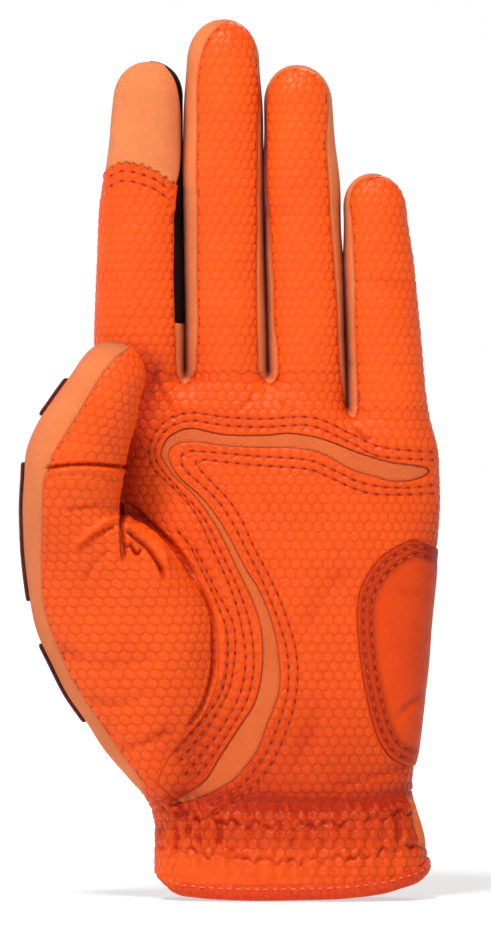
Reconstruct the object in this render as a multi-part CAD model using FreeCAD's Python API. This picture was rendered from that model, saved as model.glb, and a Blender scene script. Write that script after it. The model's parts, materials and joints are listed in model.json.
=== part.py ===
"""A left-hand golf glove, shaped as it stands on a hand: each panel is a thin shell
solid in its own STEP file.

Frame: millimetres, +Z from the wrist opening to the fingertips, palm facing -Y, thumb on the -X side.
The origin is the centre of the wrist opening, where the hand goes in.
"""
import FreeCAD
import Part
import math
import os

V = FreeCAD.Vector
Z_AXIS = V(0, 0, 1)
ORIGIN = V(0, 0, 0)

# ---- driving dimensions --------------------------------------------------------------------------
WALL = 1.0                 # one layer of the hand shell
OVERLAY = 0.9              # a patch sewn on top of the shell
PATCH = 1.3                # the thicker patches on the back of the thumb
FIT = 0.3                  # clearance between pieces on different bodies
CUFF_RADIUS = 94.0         # the hem is cut to this curve, seen from the palm
CUFF_LOW_X = -4.0          # the lowest point of the hem
BINDING_WIDTH = 5.0
FRONT_SPLIT_Y = 2.0        # the palm leather wraps this far past the middle of the hand
PALM_TOP = 120.0
POWER = 2.6                # squareness of the palm's cross-sections

# palm cross-sections: height, left edge, right edge, half thickness
PALM_SECTIONS = [
    (-2.0, -33.5, 32.5, 15.0),
    (14.0, -34.0, 31.5, 14.6),
    (28.0, -33.5, 29.0, 14.2),
    (48.0, -35.0, 31.0, 14.6),
    (70.0, -38.5, 33.2, 14.6),
    (92.0, -44.0, 34.8, 13.6),
    (108.0, -47.5, 34.2, 11.6),
    (PALM_TOP, -49.0, 32.3, 9.8),
]

# thumb cross-sections: height, centre x, centre y, half width, half depth
THUMB_SECTIONS = [
    (22.0, -29.0, -3.0, 6.0, 6.0),
    (36.0, -34.0, -6.0, 13.5, 10.5),
    (53.0, -37.5, -8.5, 20.5, 12.5),
    (71.0, -42.0, -10.5, 23.5, 13.5),
    (86.0, -46.5, -14.5, 20.0, 13.0),
    (95.0, -52.6, -19.5, 14.3, 12.0),
    (105.0, -54.0, -24.0, 13.0, 11.0),
    (116.0, -50.6, -25.2, 12.0, 10.0),
    (126.0, -46.4, -25.8, 9.2, 9.0),
    (132.0, -43.6, -26.0, 6.0, 6.4),
    (135.0, -42.4, -26.0, 2.4, 3.0),
]
THUMB_CREASE_Z = 105.0
THUMB_BEND = 40.0          # degrees, towards the palm
THUMB_STRAIGHTEN = 15.0    # degrees, away from it

# fingers: x and z of the base and the tip, base and tip radius, the two hinges' heights and how far each folds,
# and the angles from the palm direction at which the front panel ends on the thumb side and the other side
FINGERS = {
    "index": dict(base=(-38.9, 117.0), tip=(-36.6, 205.0), radii=(10.5, 8.4),
                  hinges=(141.0, 165.0), bends=(45.0, 70.0), front=(-95, 52)),
    "middle": dict(base=(-17.3, 117.0), tip=(-17.4, 215.0), radii=(9.5, 9.1),
                   hinges=(139.0, 172.0), bends=(60.0, 85.0), front=(-50, 66)),
    "ring": dict(base=(3.4, 117.0), tip=(0.4, 204.5), radii=(9.0, 7.9),
                 hinges=(138.0, 167.0), bends=(60.0, 85.0), front=(-57, 40)),
    "little": dict(base=(23.1, 117.0), tip=(18.8, 178.0), radii=(8.9, 7.0),
                   hinges=(131.0, 150.5), bends=(60.0, 85.0), front=(-50, 95)),
}
BACK_FROM = 112            # degrees from the palm direction at which the back panel starts
INDEX_TIP_SEAM_Z = 177.0   # the stretch fingertip panel starts here

# closure at the back of the wrist
TAB_LOW, TAB_HIGH = 13.0, 41.0
TAB_HINGE_X = 13.0
TAB_END_X = -27.0
ANCHOR_END_X = 25.0
VENT_X, VENT_WIDTH, VENT_TOP = -3.0, 2.4, 50.0
TAB_GAP, TAB_THICKNESS = 1.9, 1.3    # the tab lies this far off the hand shell, and is this thick
HOOK_THICKNESS = 0.7

PARTS = {}


def add(name, *shapes):
    """Files solids under a node's name."""
    for shape in shapes:
        PARTS.setdefault(name, []).extend(s for s in shape.Solids if s.Volume > 1.0)


def join(name, shape):
    """Fuses a piece into a node's solids."""
    whole = PARTS.pop(name)[0]
    add(name, whole.fuse(shape))


# ---- shared shape makers -------------------------------------------------------------------------
def closed_curve(cx, cy, z, a, b, power):
    """A rounded cross-section, as one periodic spline."""
    points = []
    for i in range(20):
        t = 2 * math.pi * i / 20
        c, s = math.cos(t), math.sin(t)
        points.append(V(cx + a * math.copysign(abs(c) ** (2 / power), c),
                        cy + b * math.copysign(abs(s) ** (2 / power), s), z))
    curve = Part.BSplineCurve()
    curve.interpolate(points, PeriodicFlag=True)
    return Part.Wire(curve.toShape())


def palm_solid(grow, ends=0.0):
    """The palm's outer form, grown by an offset, and longer by ends at both ends."""
    wires = []
    last = len(PALM_SECTIONS) - 1
    for i, (z, left, right, depth) in enumerate(PALM_SECTIONS):
        z += -ends if i == 0 else ends if i == last else 0
        wires.append(closed_curve((left + right) / 2, 0, z, (right - left) / 2 + grow, depth + grow, POWER))
    return Part.makeLoft(wires, True)


def thumb_solid(grow, sections=tuple(THUMB_SECTIONS), drop=0.0):
    """The thumb with the mound at its root, grown by an offset, its lowest section dropped a little."""
    wires = []
    for i, (z, cx, cy, a, b) in enumerate(sections):
        wires.append(closed_curve(cx, cy, z - (drop if i == 0 else 0), a + grow, b + grow, 2.0))
    return Part.makeLoft(wires, True, True)


def prism(points, y_from, y_to):
    """A block with an outline in the XZ plane, through (x, z) points, from one depth to another."""
    corners = [V(x, y_from, z) for x, z in points]
    face = Part.Face(Part.makePolygon(corners + corners[:1]))
    return face.extrude(V(0, y_to - y_from, 0))


def spline_prism(points, y_from, y_to):
    """The same with a smooth closed outline through the points."""
    curve = Part.BSplineCurve()
    curve.interpolate([V(x, y_from, z) for x, z in points], PeriodicFlag=True)
    return Part.Face(Part.Wire(curve.toShape())).extrude(V(0, y_to - y_from, 0))


def box(x0, x1, y0, y1, z0, z1):
    return Part.makeBox(x1 - x0, y1 - y0, z1 - z0, V(x0, y0, z0))


def hem_cylinder(radius):
    """Everything above the hem's curve is inside this cylinder's lower half."""
    return Part.makeCylinder(radius, 100, V(CUFF_LOW_X, -50, CUFF_RADIUS), V(0, 1, 0))


# ---- fingers -------------------------------------------------------------------------------------
def finger_frame(finger):
    """The placement that stands a finger drawn along +Z from the origin on its base, leaning to its tip."""
    (x0, z0), (x1, z1) = finger["base"], finger["tip"]
    lean = math.degrees(math.atan2(x1 - x0, z1 - z0))
    return FreeCAD.Placement(V(x0, 0, z0), FreeCAD.Rotation(V(0, 1, 0), lean))


def finger_length(finger):
    (x0, z0), (x1, z1) = finger["base"], finger["tip"]
    return math.hypot(x1 - x0, z1 - z0)


def finger_sector(finger, from_deg, to_deg):
    """The finger's wall between two angles, measured about its axis from the palm direction towards +X."""
    length = finger_length(finger)
    r0, r1 = finger["radii"]
    top = length - r1
    bow = math.sqrt(0.5)
    outer = [V(r0, 0, 0), V(r1, 0, top), V(r1 * bow, 0, top + r1 * bow), V(0, 0, length)]
    inner_r0, inner_r1 = r0 - WALL, r1 - WALL
    inner = [V(inner_r0, 0, 0), V(inner_r1, 0, top), V(inner_r1 * bow, 0, top + inner_r1 * bow),
             V(0, 0, top + inner_r1)]
    edges = [
        Part.LineSegment(outer[0], outer[1]).toShape(),
        Part.Arc(outer[1], outer[2], outer[3]).toShape(),
        Part.LineSegment(outer[3], inner[3]).toShape(),
        Part.Arc(inner[3], inner[2], inner[1]).toShape(),
        Part.LineSegment(inner[1], inner[0]).toShape(),
        Part.LineSegment(inner[0], outer[0]).toShape(),
    ]
    face = Part.Face(Part.Wire(edges))
    face.rotate(ORIGIN, Z_AXIS, from_deg - 90)
    return face.revolve(ORIGIN, Z_AXIS, to_deg - from_deg)


def notch(finger, height, bend):
    """The V cut from a finger's palm side at a crease, out of the hinge line at mid depth, so that it folds."""
    at = height - finger["base"][1]
    half = math.radians(bend / 2 + 2.0)
    reach = 30.0
    rise = reach * math.tan(half)
    corners = [V(-30, FIT, at - FIT / 2), V(-30, -reach, at - rise), V(-30, -reach, at + rise),
               V(-30, FIT, at + FIT / 2)]
    wedge = Part.Face(Part.makePolygon(corners + corners[:1])).extrude(V(60, 0, 0))
    slit = Part.makeBox(60, 40, FIT, V(-30, 0, at - FIT / 2))
    return wedge.fuse(slit)


def between(low, high):
    """A slab of a finger's own length."""
    return Part.makeBox(80, 80, high - low, V(-40, -40, low))


def make_finger(name, finger):
    """Three runs of each panel: the stub on the palm, the lower length and the upper length with the tip."""
    placement = finger_frame(finger)
    knuckle, middle = (h - finger["base"][1] for h in finger["hinges"])
    cuts = [notch(finger, height, bend) for height, bend in zip(finger["hinges"], finger["bends"])]
    runs = {
        "stub": between(0, knuckle),
        "lower": between(knuckle, middle),
        "upper": between(middle, finger_length(finger) + 5),
    }
    from_deg, to_deg = finger["front"]
    panels = {"front": (from_deg, to_deg), "back": (BACK_FROM, 360 - BACK_FROM)}
    if from_deg > -90:
        panels["thumb_side"] = (-BACK_FROM, from_deg)
    else:
        panels["back"] = (BACK_FROM, 360 + from_deg)
    if to_deg < 90:
        panels["outer_side"] = (to_deg, BACK_FROM)
    else:
        panels["back"] = (to_deg, panels["back"][1])
    for panel, (a, b) in panels.items():
        wall = finger_sector(finger, a, b).cut(cuts)
        for run, slab in runs.items():
            piece = wall.common(slab)
            piece.Placement = placement.multiply(piece.Placement)
            file_run(name, panel, run, piece)


def file_run(finger, panel, run, piece):
    """The stubs belong to the palm's own panels and to the strips between the fingers."""
    order = list(FINGERS)
    if run != "stub":
        add(f"{finger}_{panel}_{run}", piece)
    elif panel == "front":
        join("palm_panel", piece)
    elif panel == "back":
        join("back_panel", piece)
    else:
        i = order.index(finger) - (1 if panel == "thumb_side" else 0)
        add(f"fourchette_{order[i]}_{order[i + 1]}", piece)


def split_index_tip():
    """The index finger's front ends in a stretch panel over the pad."""
    whole = Part.makeCompound(PARTS.pop("index_front_upper"))
    seam = box(-80, 40, -60, 60, INDEX_TIP_SEAM_Z, 260)
    add("index_front_upper", whole.cut(seam))
    add("index_tip_panel", whole.common(seam))


# ---- palm and thumb ------------------------------------------------------------------------------
# the slot in the palm leather over the stretch strip: across under the fingers, round, down to the wrist
SLOT_OUTLINE = [
    (31.0, 103.0), (22.0, 103.6), (11.0, 106.2), (0.0, 110.6), (-14.0, 111.2), (-26.0, 112.2), (-32.5, 109.0),
    (-30.5, 102.0), (-22.0, 92.0), (-13.0, 75.0), (-8.6, 60.0), (-9.8, 45.0), (-17.0, 34.0), (-28.5, 26.5),
    (-19.0, 30.5), (-7.6, 39.5), (-4.4, 52.0), (-4.6, 62.0), (-9.5, 76.5), (-18.5, 92.5), (-27.0, 102.5),
    (-29.0, 106.5), (-24.0, 108.0), (-6.0, 107.0), (3.0, 104.8), (13.0, 100.4), (24.0, 99.6),
]
HEEL_OUTLINE = [
    (40.0, 87.0), (27.5, 87.0), (20.0, 79.0), (16.5, 68.0), (17.5, 54.0), (21.0, 42.0), (26.5, 35.0), (40.0, 34.5),
]
YOKE_OUTLINE = [
    (-34.0, 104.0), (-20.0, 110.0), (0.0, 111.0), (22.0, 106.0), (26.0, 84.0), (22.0, 64.0), (2.0, 56.0),
    (-18.0, 60.0), (-31.0, 78.0),
]
# the edge between the thumb's leather and its stretch side, seen from the palm
THUMB_EDGE = [
    (-33.0, 22.0), (-37.0, 30.0), (-47.5, 46.0), (-55.5, 60.0), (-60.0, 74.0), (-61.6, 90.0), (-60.2, 104.0),
    (-54.5, 114.0), (-48.0, 123.0), (-39.0, 133.0), (-39.0, 140.0),
]


def make_palm(thumb_outer):
    outer = palm_solid(0)
    shell = outer.cut(palm_solid(-WALL, 1.0)).cut(thumb_outer)
    hem = hem_cylinder(CUFF_RADIUS)
    binding_top = hem_cylinder(CUFF_RADIUS - BINDING_WIDTH)
    upper = box(-90, 60, -40, 40, 40.0, 140.0)
    hand = shell.common(binding_top.fuse(upper))
    front_half = box(-90, 60, -40, FRONT_SPLIT_Y, -5, 140)
    slot = prism(SLOT_OUTLINE, -40, 0)
    front = hand.common(front_half)
    add("palm_panel", front.cut(slot))
    add("flex_strip", front.common(slot))
    vent = box(VENT_X - VENT_WIDTH / 2, VENT_X + VENT_WIDTH / 2, 0, 40, -5, VENT_TOP)
    add("back_panel", hand.cut(front_half).cut(vent))

    lower = box(-90, 60, -40, 40, -5, 40.0)
    bulk = palm_solid(OVERLAY, 1.0).cut(palm_solid(-WALL, 2.0))
    binding = bulk.common(hem).cut(binding_top).common(lower).cut(thumb_outer)
    add("cuff_binding", binding.cut(vent))

    overlay = palm_solid(OVERLAY, -2.0).cut(outer)
    add("heel_patch", overlay.common(prism(HEEL_OUTLINE, -40, 8)))
    add("back_yoke", overlay.common(spline_prism(YOKE_OUTLINE, 4, 40)))
    vent_edge = box(VENT_X - 4.5, VENT_X + 4.5, 4, 40, BINDING_WIDTH + 4, VENT_TOP + 3.5)
    add("vent_binding", overlay.common(vent_edge).cut(vent))
    loop = box(TAB_END_X + 2, VENT_X - 5.0, 4, 40, TAB_LOW + 2, TAB_HIGH - 2)
    add("loop_patch", overlay.common(loop))

    lining = palm_solid(-WALL, 1.0).cut(palm_solid(-WALL - 0.8, 2.0))
    add("wrist_elastic", lining.common(box(-24, 24, -40, -4, 14, 22)).cut(thumb_outer))


def make_closure():
    """The tab hinges at its sewn end, and closes over the vent onto the loop patch."""
    skin = palm_solid(TAB_GAP + TAB_THICKNESS, -2.0).cut(palm_solid(TAB_GAP, -1.0))
    mid = (TAB_LOW + TAB_HIGH) / 2
    half = (TAB_HIGH - TAB_LOW) / 2
    bar = box(TAB_END_X + half, TAB_HINGE_X, 4, 40, TAB_LOW, TAB_HIGH)
    nose = Part.makeCylinder(half, 36, V(TAB_END_X + half, 4, mid), V(0, 1, 0))
    add("closure_tab", skin.common(bar.fuse(nose)))
    rim = 3.0
    badge_skin = palm_solid(TAB_GAP + TAB_THICKNESS + 0.7, -2.5).cut(palm_solid(TAB_GAP + TAB_THICKNESS, -1.5))
    badge = Part.makeCylinder(half - rim, 36, V(TAB_END_X + half, 4, mid), V(0, 1, 0))
    add("tab_badge", badge_skin.common(badge))
    hook_skin = palm_solid(TAB_GAP, -2.0).cut(palm_solid(TAB_GAP - HOOK_THICKNESS, -1.0))
    add("hook_patch", hook_skin.common(box(TAB_END_X + 4, VENT_X - 6, 4, 40, TAB_LOW + 4, TAB_HIGH - 4)))
    anchor_skin = palm_solid(TAB_GAP + TAB_THICKNESS, -2.0).cut(palm_solid(0, 1.0))
    anchor = box(TAB_HINGE_X + FIT, ANCHOR_END_X, 4, 40, TAB_LOW, TAB_HIGH)
    add("tab_anchor", anchor_skin.common(anchor))


def thumb_notch():
    """The thumb folds at its crease towards +X, so its V opens on that side of the hinge line."""
    x, z = THUMB_SECTIONS[6][1], THUMB_CREASE_Z
    reach = 30.0
    fold = reach * math.tan(math.radians(THUMB_BEND / 2 + 2.0))
    open_side = reach * math.tan(math.radians(THUMB_STRAIGHTEN / 2 + 2.0))
    corners = [(x, z - FIT / 2), (x + reach, z - fold), (x + reach, z + fold), (x, z + FIT / 2),
               (x - reach, z + open_side), (x - reach, z - open_side)]
    return prism(corners, -60, 20)


def make_thumb(thumb_outer):
    inner = thumb_solid(-WALL, THUMB_SECTIONS[:-1], 1.0)
    shell = thumb_outer.cut(inner).cut(palm_solid(0, 3.0)).cut(thumb_notch())
    leather = prism(THUMB_EDGE + [(20.0, 140.0), (20.0, 22.0)], -60, 20)
    for solid in shell.common(leather).Solids:
        add("thumb_panel" if solid.CenterOfMass.z < THUMB_CREASE_Z else "thumb_front_tip", solid)
    for solid in shell.cut(leather).Solids:
        add("thumb_gusset" if solid.CenterOfMass.z < THUMB_CREASE_Z else "thumb_back_tip", solid)
    patch_skin = thumb_solid(PATCH, THUMB_SECTIONS[2:8]).cut(thumb_outer).cut(palm_solid(OVERLAY, 3.0))
    add("thumb_back_patch", patch_skin.common(box(-90, -50, -14, 20, 54, THUMB_CREASE_Z - 7)))
    tip_skin = thumb_solid(PATCH, THUMB_SECTIONS[6:10]).cut(thumb_outer)
    add("thumb_tip_patch", tip_skin.common(box(-90, -50, -20, 20, 113, 124)))


def main():
    os.makedirs("parts", exist_ok=True)
    thumb_outer = thumb_solid(0)
    make_palm(thumb_outer)
    make_closure()
    make_thumb(thumb_outer)
    for name, finger in FINGERS.items():
        make_finger(name, finger)
    split_index_tip()
    for name, solids in PARTS.items():
        for solid in solids:
            if not solid.isValid():
                print("not valid:", name)
        shape = solids[0] if len(solids) == 1 else Part.makeCompound(solids)
        shape.exportStep(f"parts/{name}.step")
        print(f"{name}: {[round(s.Volume) for s in solids]} mm3")


main()
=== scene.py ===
"""The look of the golf glove: panels cut from one smooth hand surface, then embossed, sewn and creased.

Lengths are in millimetres until a mesh is made,
in the frame's own axes: +Z to the fingertips, -Y out of the palm.
"""
import json
import math

import bpy
import numpy as np
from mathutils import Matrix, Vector


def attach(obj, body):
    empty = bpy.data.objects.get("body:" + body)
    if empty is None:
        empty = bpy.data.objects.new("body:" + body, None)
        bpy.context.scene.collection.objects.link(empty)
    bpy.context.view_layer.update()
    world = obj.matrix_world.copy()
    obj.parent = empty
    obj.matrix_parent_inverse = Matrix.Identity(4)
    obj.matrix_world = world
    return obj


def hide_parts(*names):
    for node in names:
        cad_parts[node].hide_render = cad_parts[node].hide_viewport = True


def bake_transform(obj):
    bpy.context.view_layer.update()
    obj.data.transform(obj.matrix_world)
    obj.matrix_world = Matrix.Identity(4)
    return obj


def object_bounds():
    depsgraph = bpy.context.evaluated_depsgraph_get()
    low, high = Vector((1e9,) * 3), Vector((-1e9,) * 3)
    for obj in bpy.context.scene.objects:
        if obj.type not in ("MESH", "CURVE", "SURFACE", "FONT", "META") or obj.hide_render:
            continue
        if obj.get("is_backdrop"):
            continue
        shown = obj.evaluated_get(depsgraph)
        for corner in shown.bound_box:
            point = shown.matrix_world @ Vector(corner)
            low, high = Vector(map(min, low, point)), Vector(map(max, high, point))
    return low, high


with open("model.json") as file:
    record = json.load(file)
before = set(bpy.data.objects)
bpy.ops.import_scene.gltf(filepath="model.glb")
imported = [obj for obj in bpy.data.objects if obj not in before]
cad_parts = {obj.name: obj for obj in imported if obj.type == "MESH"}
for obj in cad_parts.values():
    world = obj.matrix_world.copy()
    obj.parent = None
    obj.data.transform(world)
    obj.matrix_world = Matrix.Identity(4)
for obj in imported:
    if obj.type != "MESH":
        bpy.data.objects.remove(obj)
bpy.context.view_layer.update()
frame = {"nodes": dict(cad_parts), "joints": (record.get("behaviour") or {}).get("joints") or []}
MM = 0.001


# ---- curves and fields --------------------
def spline(at, values):
    """A smooth function through points, flat beyond its ends."""
    at, values = np.array(at, float), np.array(values, float)
    slopes = np.gradient(values, at)

    def curve(z):
        z = np.clip(z, at[0], at[-1])
        i = np.clip(np.searchsorted(at, z) - 1, 0, len(at) - 2)
        h = at[i + 1] - at[i]
        t = (z - at[i]) / h
        return ((1 + 2 * t) * (1 - t) ** 2 * values[i] + t * (1 - t) ** 2 * h * slopes[i]
                + t * t * (3 - 2 * t) * values[i + 1] + t * t * (t - 1) * h * slopes[i + 1])
    return curve


def ramp(x, low, high):
    """0 at low, 1 at high, smooth between."""
    t = np.clip((x - low) / (high - low), 0, 1)
    return t * t * (3 - 2 * t)


def smooth_min(a, b, k):
    h = np.maximum(k - np.abs(a - b), 0)
    return np.minimum(a, b) - h * h / (4 * np.maximum(k, 1e-6))


class Column:
    """A body with a rounded cross-section at each height, and a domed top from cap_z, cap_h high."""

    def __init__(self, rows, power, cap_z=None, cap_h=None, sunk=0):
        self.sunk = sunk
        z, left, right, cy, b = np.array(rows, float).T
        self.cx = spline(z, (left + right) / 2)
        self.a = spline(z, (right - left) / 2)
        self.cy, self.b = spline(z, cy), spline(z, b)
        self.power, self.cap_z, self.cap_h = power, cap_z, cap_h

    def offsets(self, p):
        z = p[:, 2]
        return p[:, 0] - self.cx(z), p[:, 1] - self.cy(z), self.a(z), self.b(z)

    def __call__(self, p):
        dx, dy, a, b = self.offsets(p)
        n = self.power
        q = np.abs(dx / a) ** n + np.abs(dy / b) ** n
        r = dx * dx + dy * dy
        if self.cap_z is not None:
            dz = np.maximum(p[:, 2] - self.cap_z, 0)
            q += (dz / self.cap_h) ** n
            r += dz * dz
        q = np.maximum(q, 1e-9) ** (1 / n)
        r = np.sqrt(r)
        return r - r / q + self.sunk * (1 - ramp(p[:, 2], 86, 110)) + np.maximum(86 - p[:, 2], 0) * self.sunk

    def angle(self, p):
        """Round the column from its palm side, positive towards +X, in degrees."""
        dx, dy, a, b = self.offsets(p)
        return np.degrees(np.arctan2(dx / a, -dy / b))


# height, left edge, right edge, middle depth, half depth
PALM = Column([
    (-4, -32.2, 32.0, 0.0, 15.2), (6.6, -33.6, 32.2, 0.0, 14.9), (14, -33.4, 31.8, 0, 14.3),
    (21, -33.0, 30.0, 0, 13.8), (28.7, -32.2, 28.7, 0, 13.6), (36, -31.6, 29.6, 0, 13.8),
    (51, -33, 31.6, 0, 14.2), (65, -36, 32.8, 0, 14.4), (80, -41, 34.1, 0, 14.2), (95, -46, 35.3, 0, 13.3),
    (109.5, -48.5, 34.5, 0, 11.8), (120, -49.5, 32.7, 0, 10.6), (132, -49.6, 32.0, 0, 10.2)], 2.6)
PALM_TOP = spline([-52, -39, -28, -17, -6.6, 3, 12.5, 23, 35],
                  [125.5, 125.5, 125.6, 125.6, 125.8, 122.5, 117.4, 116.8, 116.8])
THUMB = Column([
    (18, -33.2, -25, -2, 5), (24, -36.4, -23, -4, 7.5), (28.7, -41, -22, -5, 9), (36, -47, -20.5, -6, 10.2),
    (43.4, -51.7, -19.5, -7.2, 11.2), (50.7, -56.6, -18.5, -8.2, 12), (58, -60.5, -18.5, -9.2, 12.6),
    (65, -63.5, -19, -10.2, 13), (73, -65.4, -21.5, -11.5, 13), (84, -66.5, -29.5, -14.6, 12.7),
    (90, -66.7, -37.0, -17.2, 12.2), (95, -66.8, -42.2, -19.6, 11.7), (102, -66.5, -42.0, -22.8, 11.1),
    (109.5, -65.9, -40.6, -24.4, 10.6), (117, -62.4, -38.6, -25.2, 10.2), (122, -59.0, -37.8, -25.6, 9.8),
    (128, -56.0, -35.4, -25.9, 9.6), (137, -54.8, -34.4, -26.2, 9.6)], 2.0, 121.0, 15.2)
FINGERS = {
    "index": Column([
        (100, -48.6, -28.4, 0, 8.6), (120, -49.5, -27.0, 0, 9.6), (139, -49.5, -26.9, 0, 9.8),
        (154, -49.0, -27.0, 0, 9.5), (165, -48.6, -27.5, 0, 9.3), (176, -47.3, -27.5, 0, 8.8),
        (190, -45.7, -27.6, 0, 8.2), (196, -45.0, -27.7, 0, 8.0),
        (206, -44.6, -27.4, 0, 8.0)], 2.15, 195.5, 9.6, 5),
    "middle": Column([
        (100, -26.4, -6.8, 0, 8.4), (120, -27.2, -6.4, 0, 9.2), (139, -27.5, -6.8, 0, 9.4),
        (154, -27.7, -7.3, 0, 9.3), (172, -27.9, -7.5, 0, 9.1), (190, -27.8, -7.9, 0, 8.7),
        (205, -26.8, -8.8, 0, 8.4), (216, -26.6, -9.0, 0, 8.4)],
        2.15, 204.5, 10.5, 5),
    "ring": Column([
        (100, -6.4, 12.6, 0, 8.2), (120, -6.9, 12.9, 0, 8.9), (138, -7.3, 12.5, 0, 9.0),
        (158, -7.8, 11.6, 0, 8.7), (176, -8.4, 10.6, 0, 8.3), (190, -8.0, 9.3, 0, 7.9),
        (195, -8.0, 8.8, 0, 7.7), (205, -7.8, 8.2, 0, 7.7)],
        2.15, 194.5, 9.6, 5),
    "little": Column([
        (95, 12.9, 33.0, 0, 8.2), (112, 12.7, 33.4, 0, 8.8), (122, 12.2, 32.1, 0, 8.9),
        (131, 12.0, 31.2, 0, 8.7), (146, 11.5, 29.9, 0, 8.2), (158, 11.3, 28.6, 0, 7.7),
        (168, 11.4, 27.2, 0, 7.2), (178, 11.6, 26.2, 0, 7.0)],
        2.15, 168.5, 9.0, 5),
}
ORDER = list(FINGERS)
# where each finger's own pieces start, where its lower and upper lengths meet, and how far its fabric bends
# to each side of the knuckle and of the middle joint
ROOT_Z = {"index": 129.0, "middle": 129.0, "ring": 129.0, "little": 120.4}
HINGES = {j["name"]: 1000 * np.array(j["pos_m"]) for j in frame["joints"]}
SPLIT_Z = {"index": 153.5, "middle": 155.5, "ring": 152.5, "little": 141.0}
BEND_REACH = {"index": (11.5, 9.5), "middle": (10, 11), "ring": (9, 10), "little": (10.2, 8.8)}
SKIN = 0.5              # the leather stands this far off the hand surface, which is drawn that much smaller
FAR = 9.0               # the distance to a panel's edge where it has none nearby


def hand(p):
    """The whole hand's surface is where this is zero. The fingers part from each other above the palm."""
    z = p[:, 2]
    f = PALM(p)
    f = -smooth_min(-f, -(z - PALM_TOP(p[:, 0])) * 0.9, 9.0)
    blend = 5.5 - 3.9 * ramp(z, 84, 94)
    k_root = 3.4 - 2.0 * ramp(z, 124, 128.5)
    k_little = 3.4 - 2.2 * ramp(z, 115.5, 120)
    for name, column in FINGERS.items():
        k = k_little if name == "little" else k_root
        f = smooth_min(f, column(p), k)
    return smooth_min(f, THUMB(p), blend) + SKIN


def gradient(field, p, step=0.05):
    g = np.empty_like(p)
    for axis in range(3):
        d = np.zeros(3)
        d[axis] = step
        g[:, axis] = (field(p + d) - field(p - d)) / (2 * step)
    return g


def project(field, p, rounds):
    """Moves points onto the surface, and gives its normals there."""
    for _ in range(rounds):
        g = gradient(field, p)
        move = field(p) / np.maximum((g * g).sum(1), 0.04)
        p = p - g * np.clip(move, -0.6, 0.6)[:, None]
    g = gradient(field, p)
    return p, g / np.maximum(np.linalg.norm(g, axis=1), 1e-6)[:, None]


def surface_net(field, low, high, step):
    """A quad mesh of a field's zero surface."""
    axes = [np.arange(low[i], high[i] + step, step) for i in range(3)]
    shape = [len(a) for a in axes]
    values = np.empty(shape, np.float32)
    yz = np.stack(np.meshgrid(axes[1], axes[2], indexing="ij"), -1).reshape(-1, 2)
    for i, x in enumerate(axes[0]):
        points = np.column_stack([np.full(len(yz), x), yz])
        values[i] = field(points).reshape(shape[1:])
    inside = values < 0
    corners = [(i, j, k) for i in (0, 1) for j in (0, 1) for k in (0, 1)]
    cells = [n - 1 for n in shape]

    def corner(array, c):
        return array[c[0]:c[0] + cells[0], c[1]:c[1] + cells[1], c[2]:c[2] + cells[2]]
    count = sum(corner(inside, c).astype(np.int8) for c in corners)
    active = np.argwhere((count > 0) & (count < 8))
    v = np.stack([values[active[:, 0] + c[0], active[:, 1] + c[1], active[:, 2] + c[2]] for c in corners], 1)
    total = np.zeros((len(active), 3))
    hits = np.zeros(len(active))
    for a in range(8):
        for b in range(a + 1, 8):
            ca, cb = np.array(corners[a]), np.array(corners[b])
            if np.abs(ca - cb).sum() != 1:
                continue
            crosses = (v[:, a] < 0) != (v[:, b] < 0)
            t = v[:, a] / np.where(crosses, v[:, a] - v[:, b], 1)
            total += np.where(crosses[:, None], ca + t[:, None] * (cb - ca), 0)
            hits += crosses
    points = np.array(low) + step * (active + total / hits[:, None])
    number = np.full(cells, -1, np.int64)
    number[tuple(active.T)] = np.arange(len(active))
    quads = []
    for axis in range(3):
        u, w = (axis + 1) % 3, (axis + 2) % 3
        first = [slice(None)] * 3
        second = [slice(None)] * 3
        first[axis], second[axis] = slice(0, -1), slice(1, None)
        flips = inside[tuple(first)] != inside[tuple(second)]
        edges = np.argwhere(flips)
        good = (edges[:, u] > 0) & (edges[:, w] > 0) & (edges[:, u] < cells[u]) & (edges[:, w] < cells[w])
        edges = edges[good]
        ring = []
        for du, dw in ((1, 1), (0, 1), (0, 0), (1, 0)):
            cell = edges.copy()
            cell[:, u] -= du
            cell[:, w] -= dw
            ring.append(number[tuple(cell.T)])
        quad = np.stack(ring, 1)
        outward = inside[tuple(edges.T)]
        quad[~outward] = quad[~outward][:, ::-1]
        quads.append(quad)
    quads = np.concatenate(quads)
    return points, quads[(quads >= 0).all(1)]


# ---- cutting triangle meshes --------------------
def triangles(quads):
    return np.concatenate([quads[:, [0, 1, 2]], quads[:, [0, 2, 3]]])


def compact(data, tris):
    used, tris = np.unique(tris, return_inverse=True)
    return data[used], tris.reshape(-1, 3)


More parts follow.
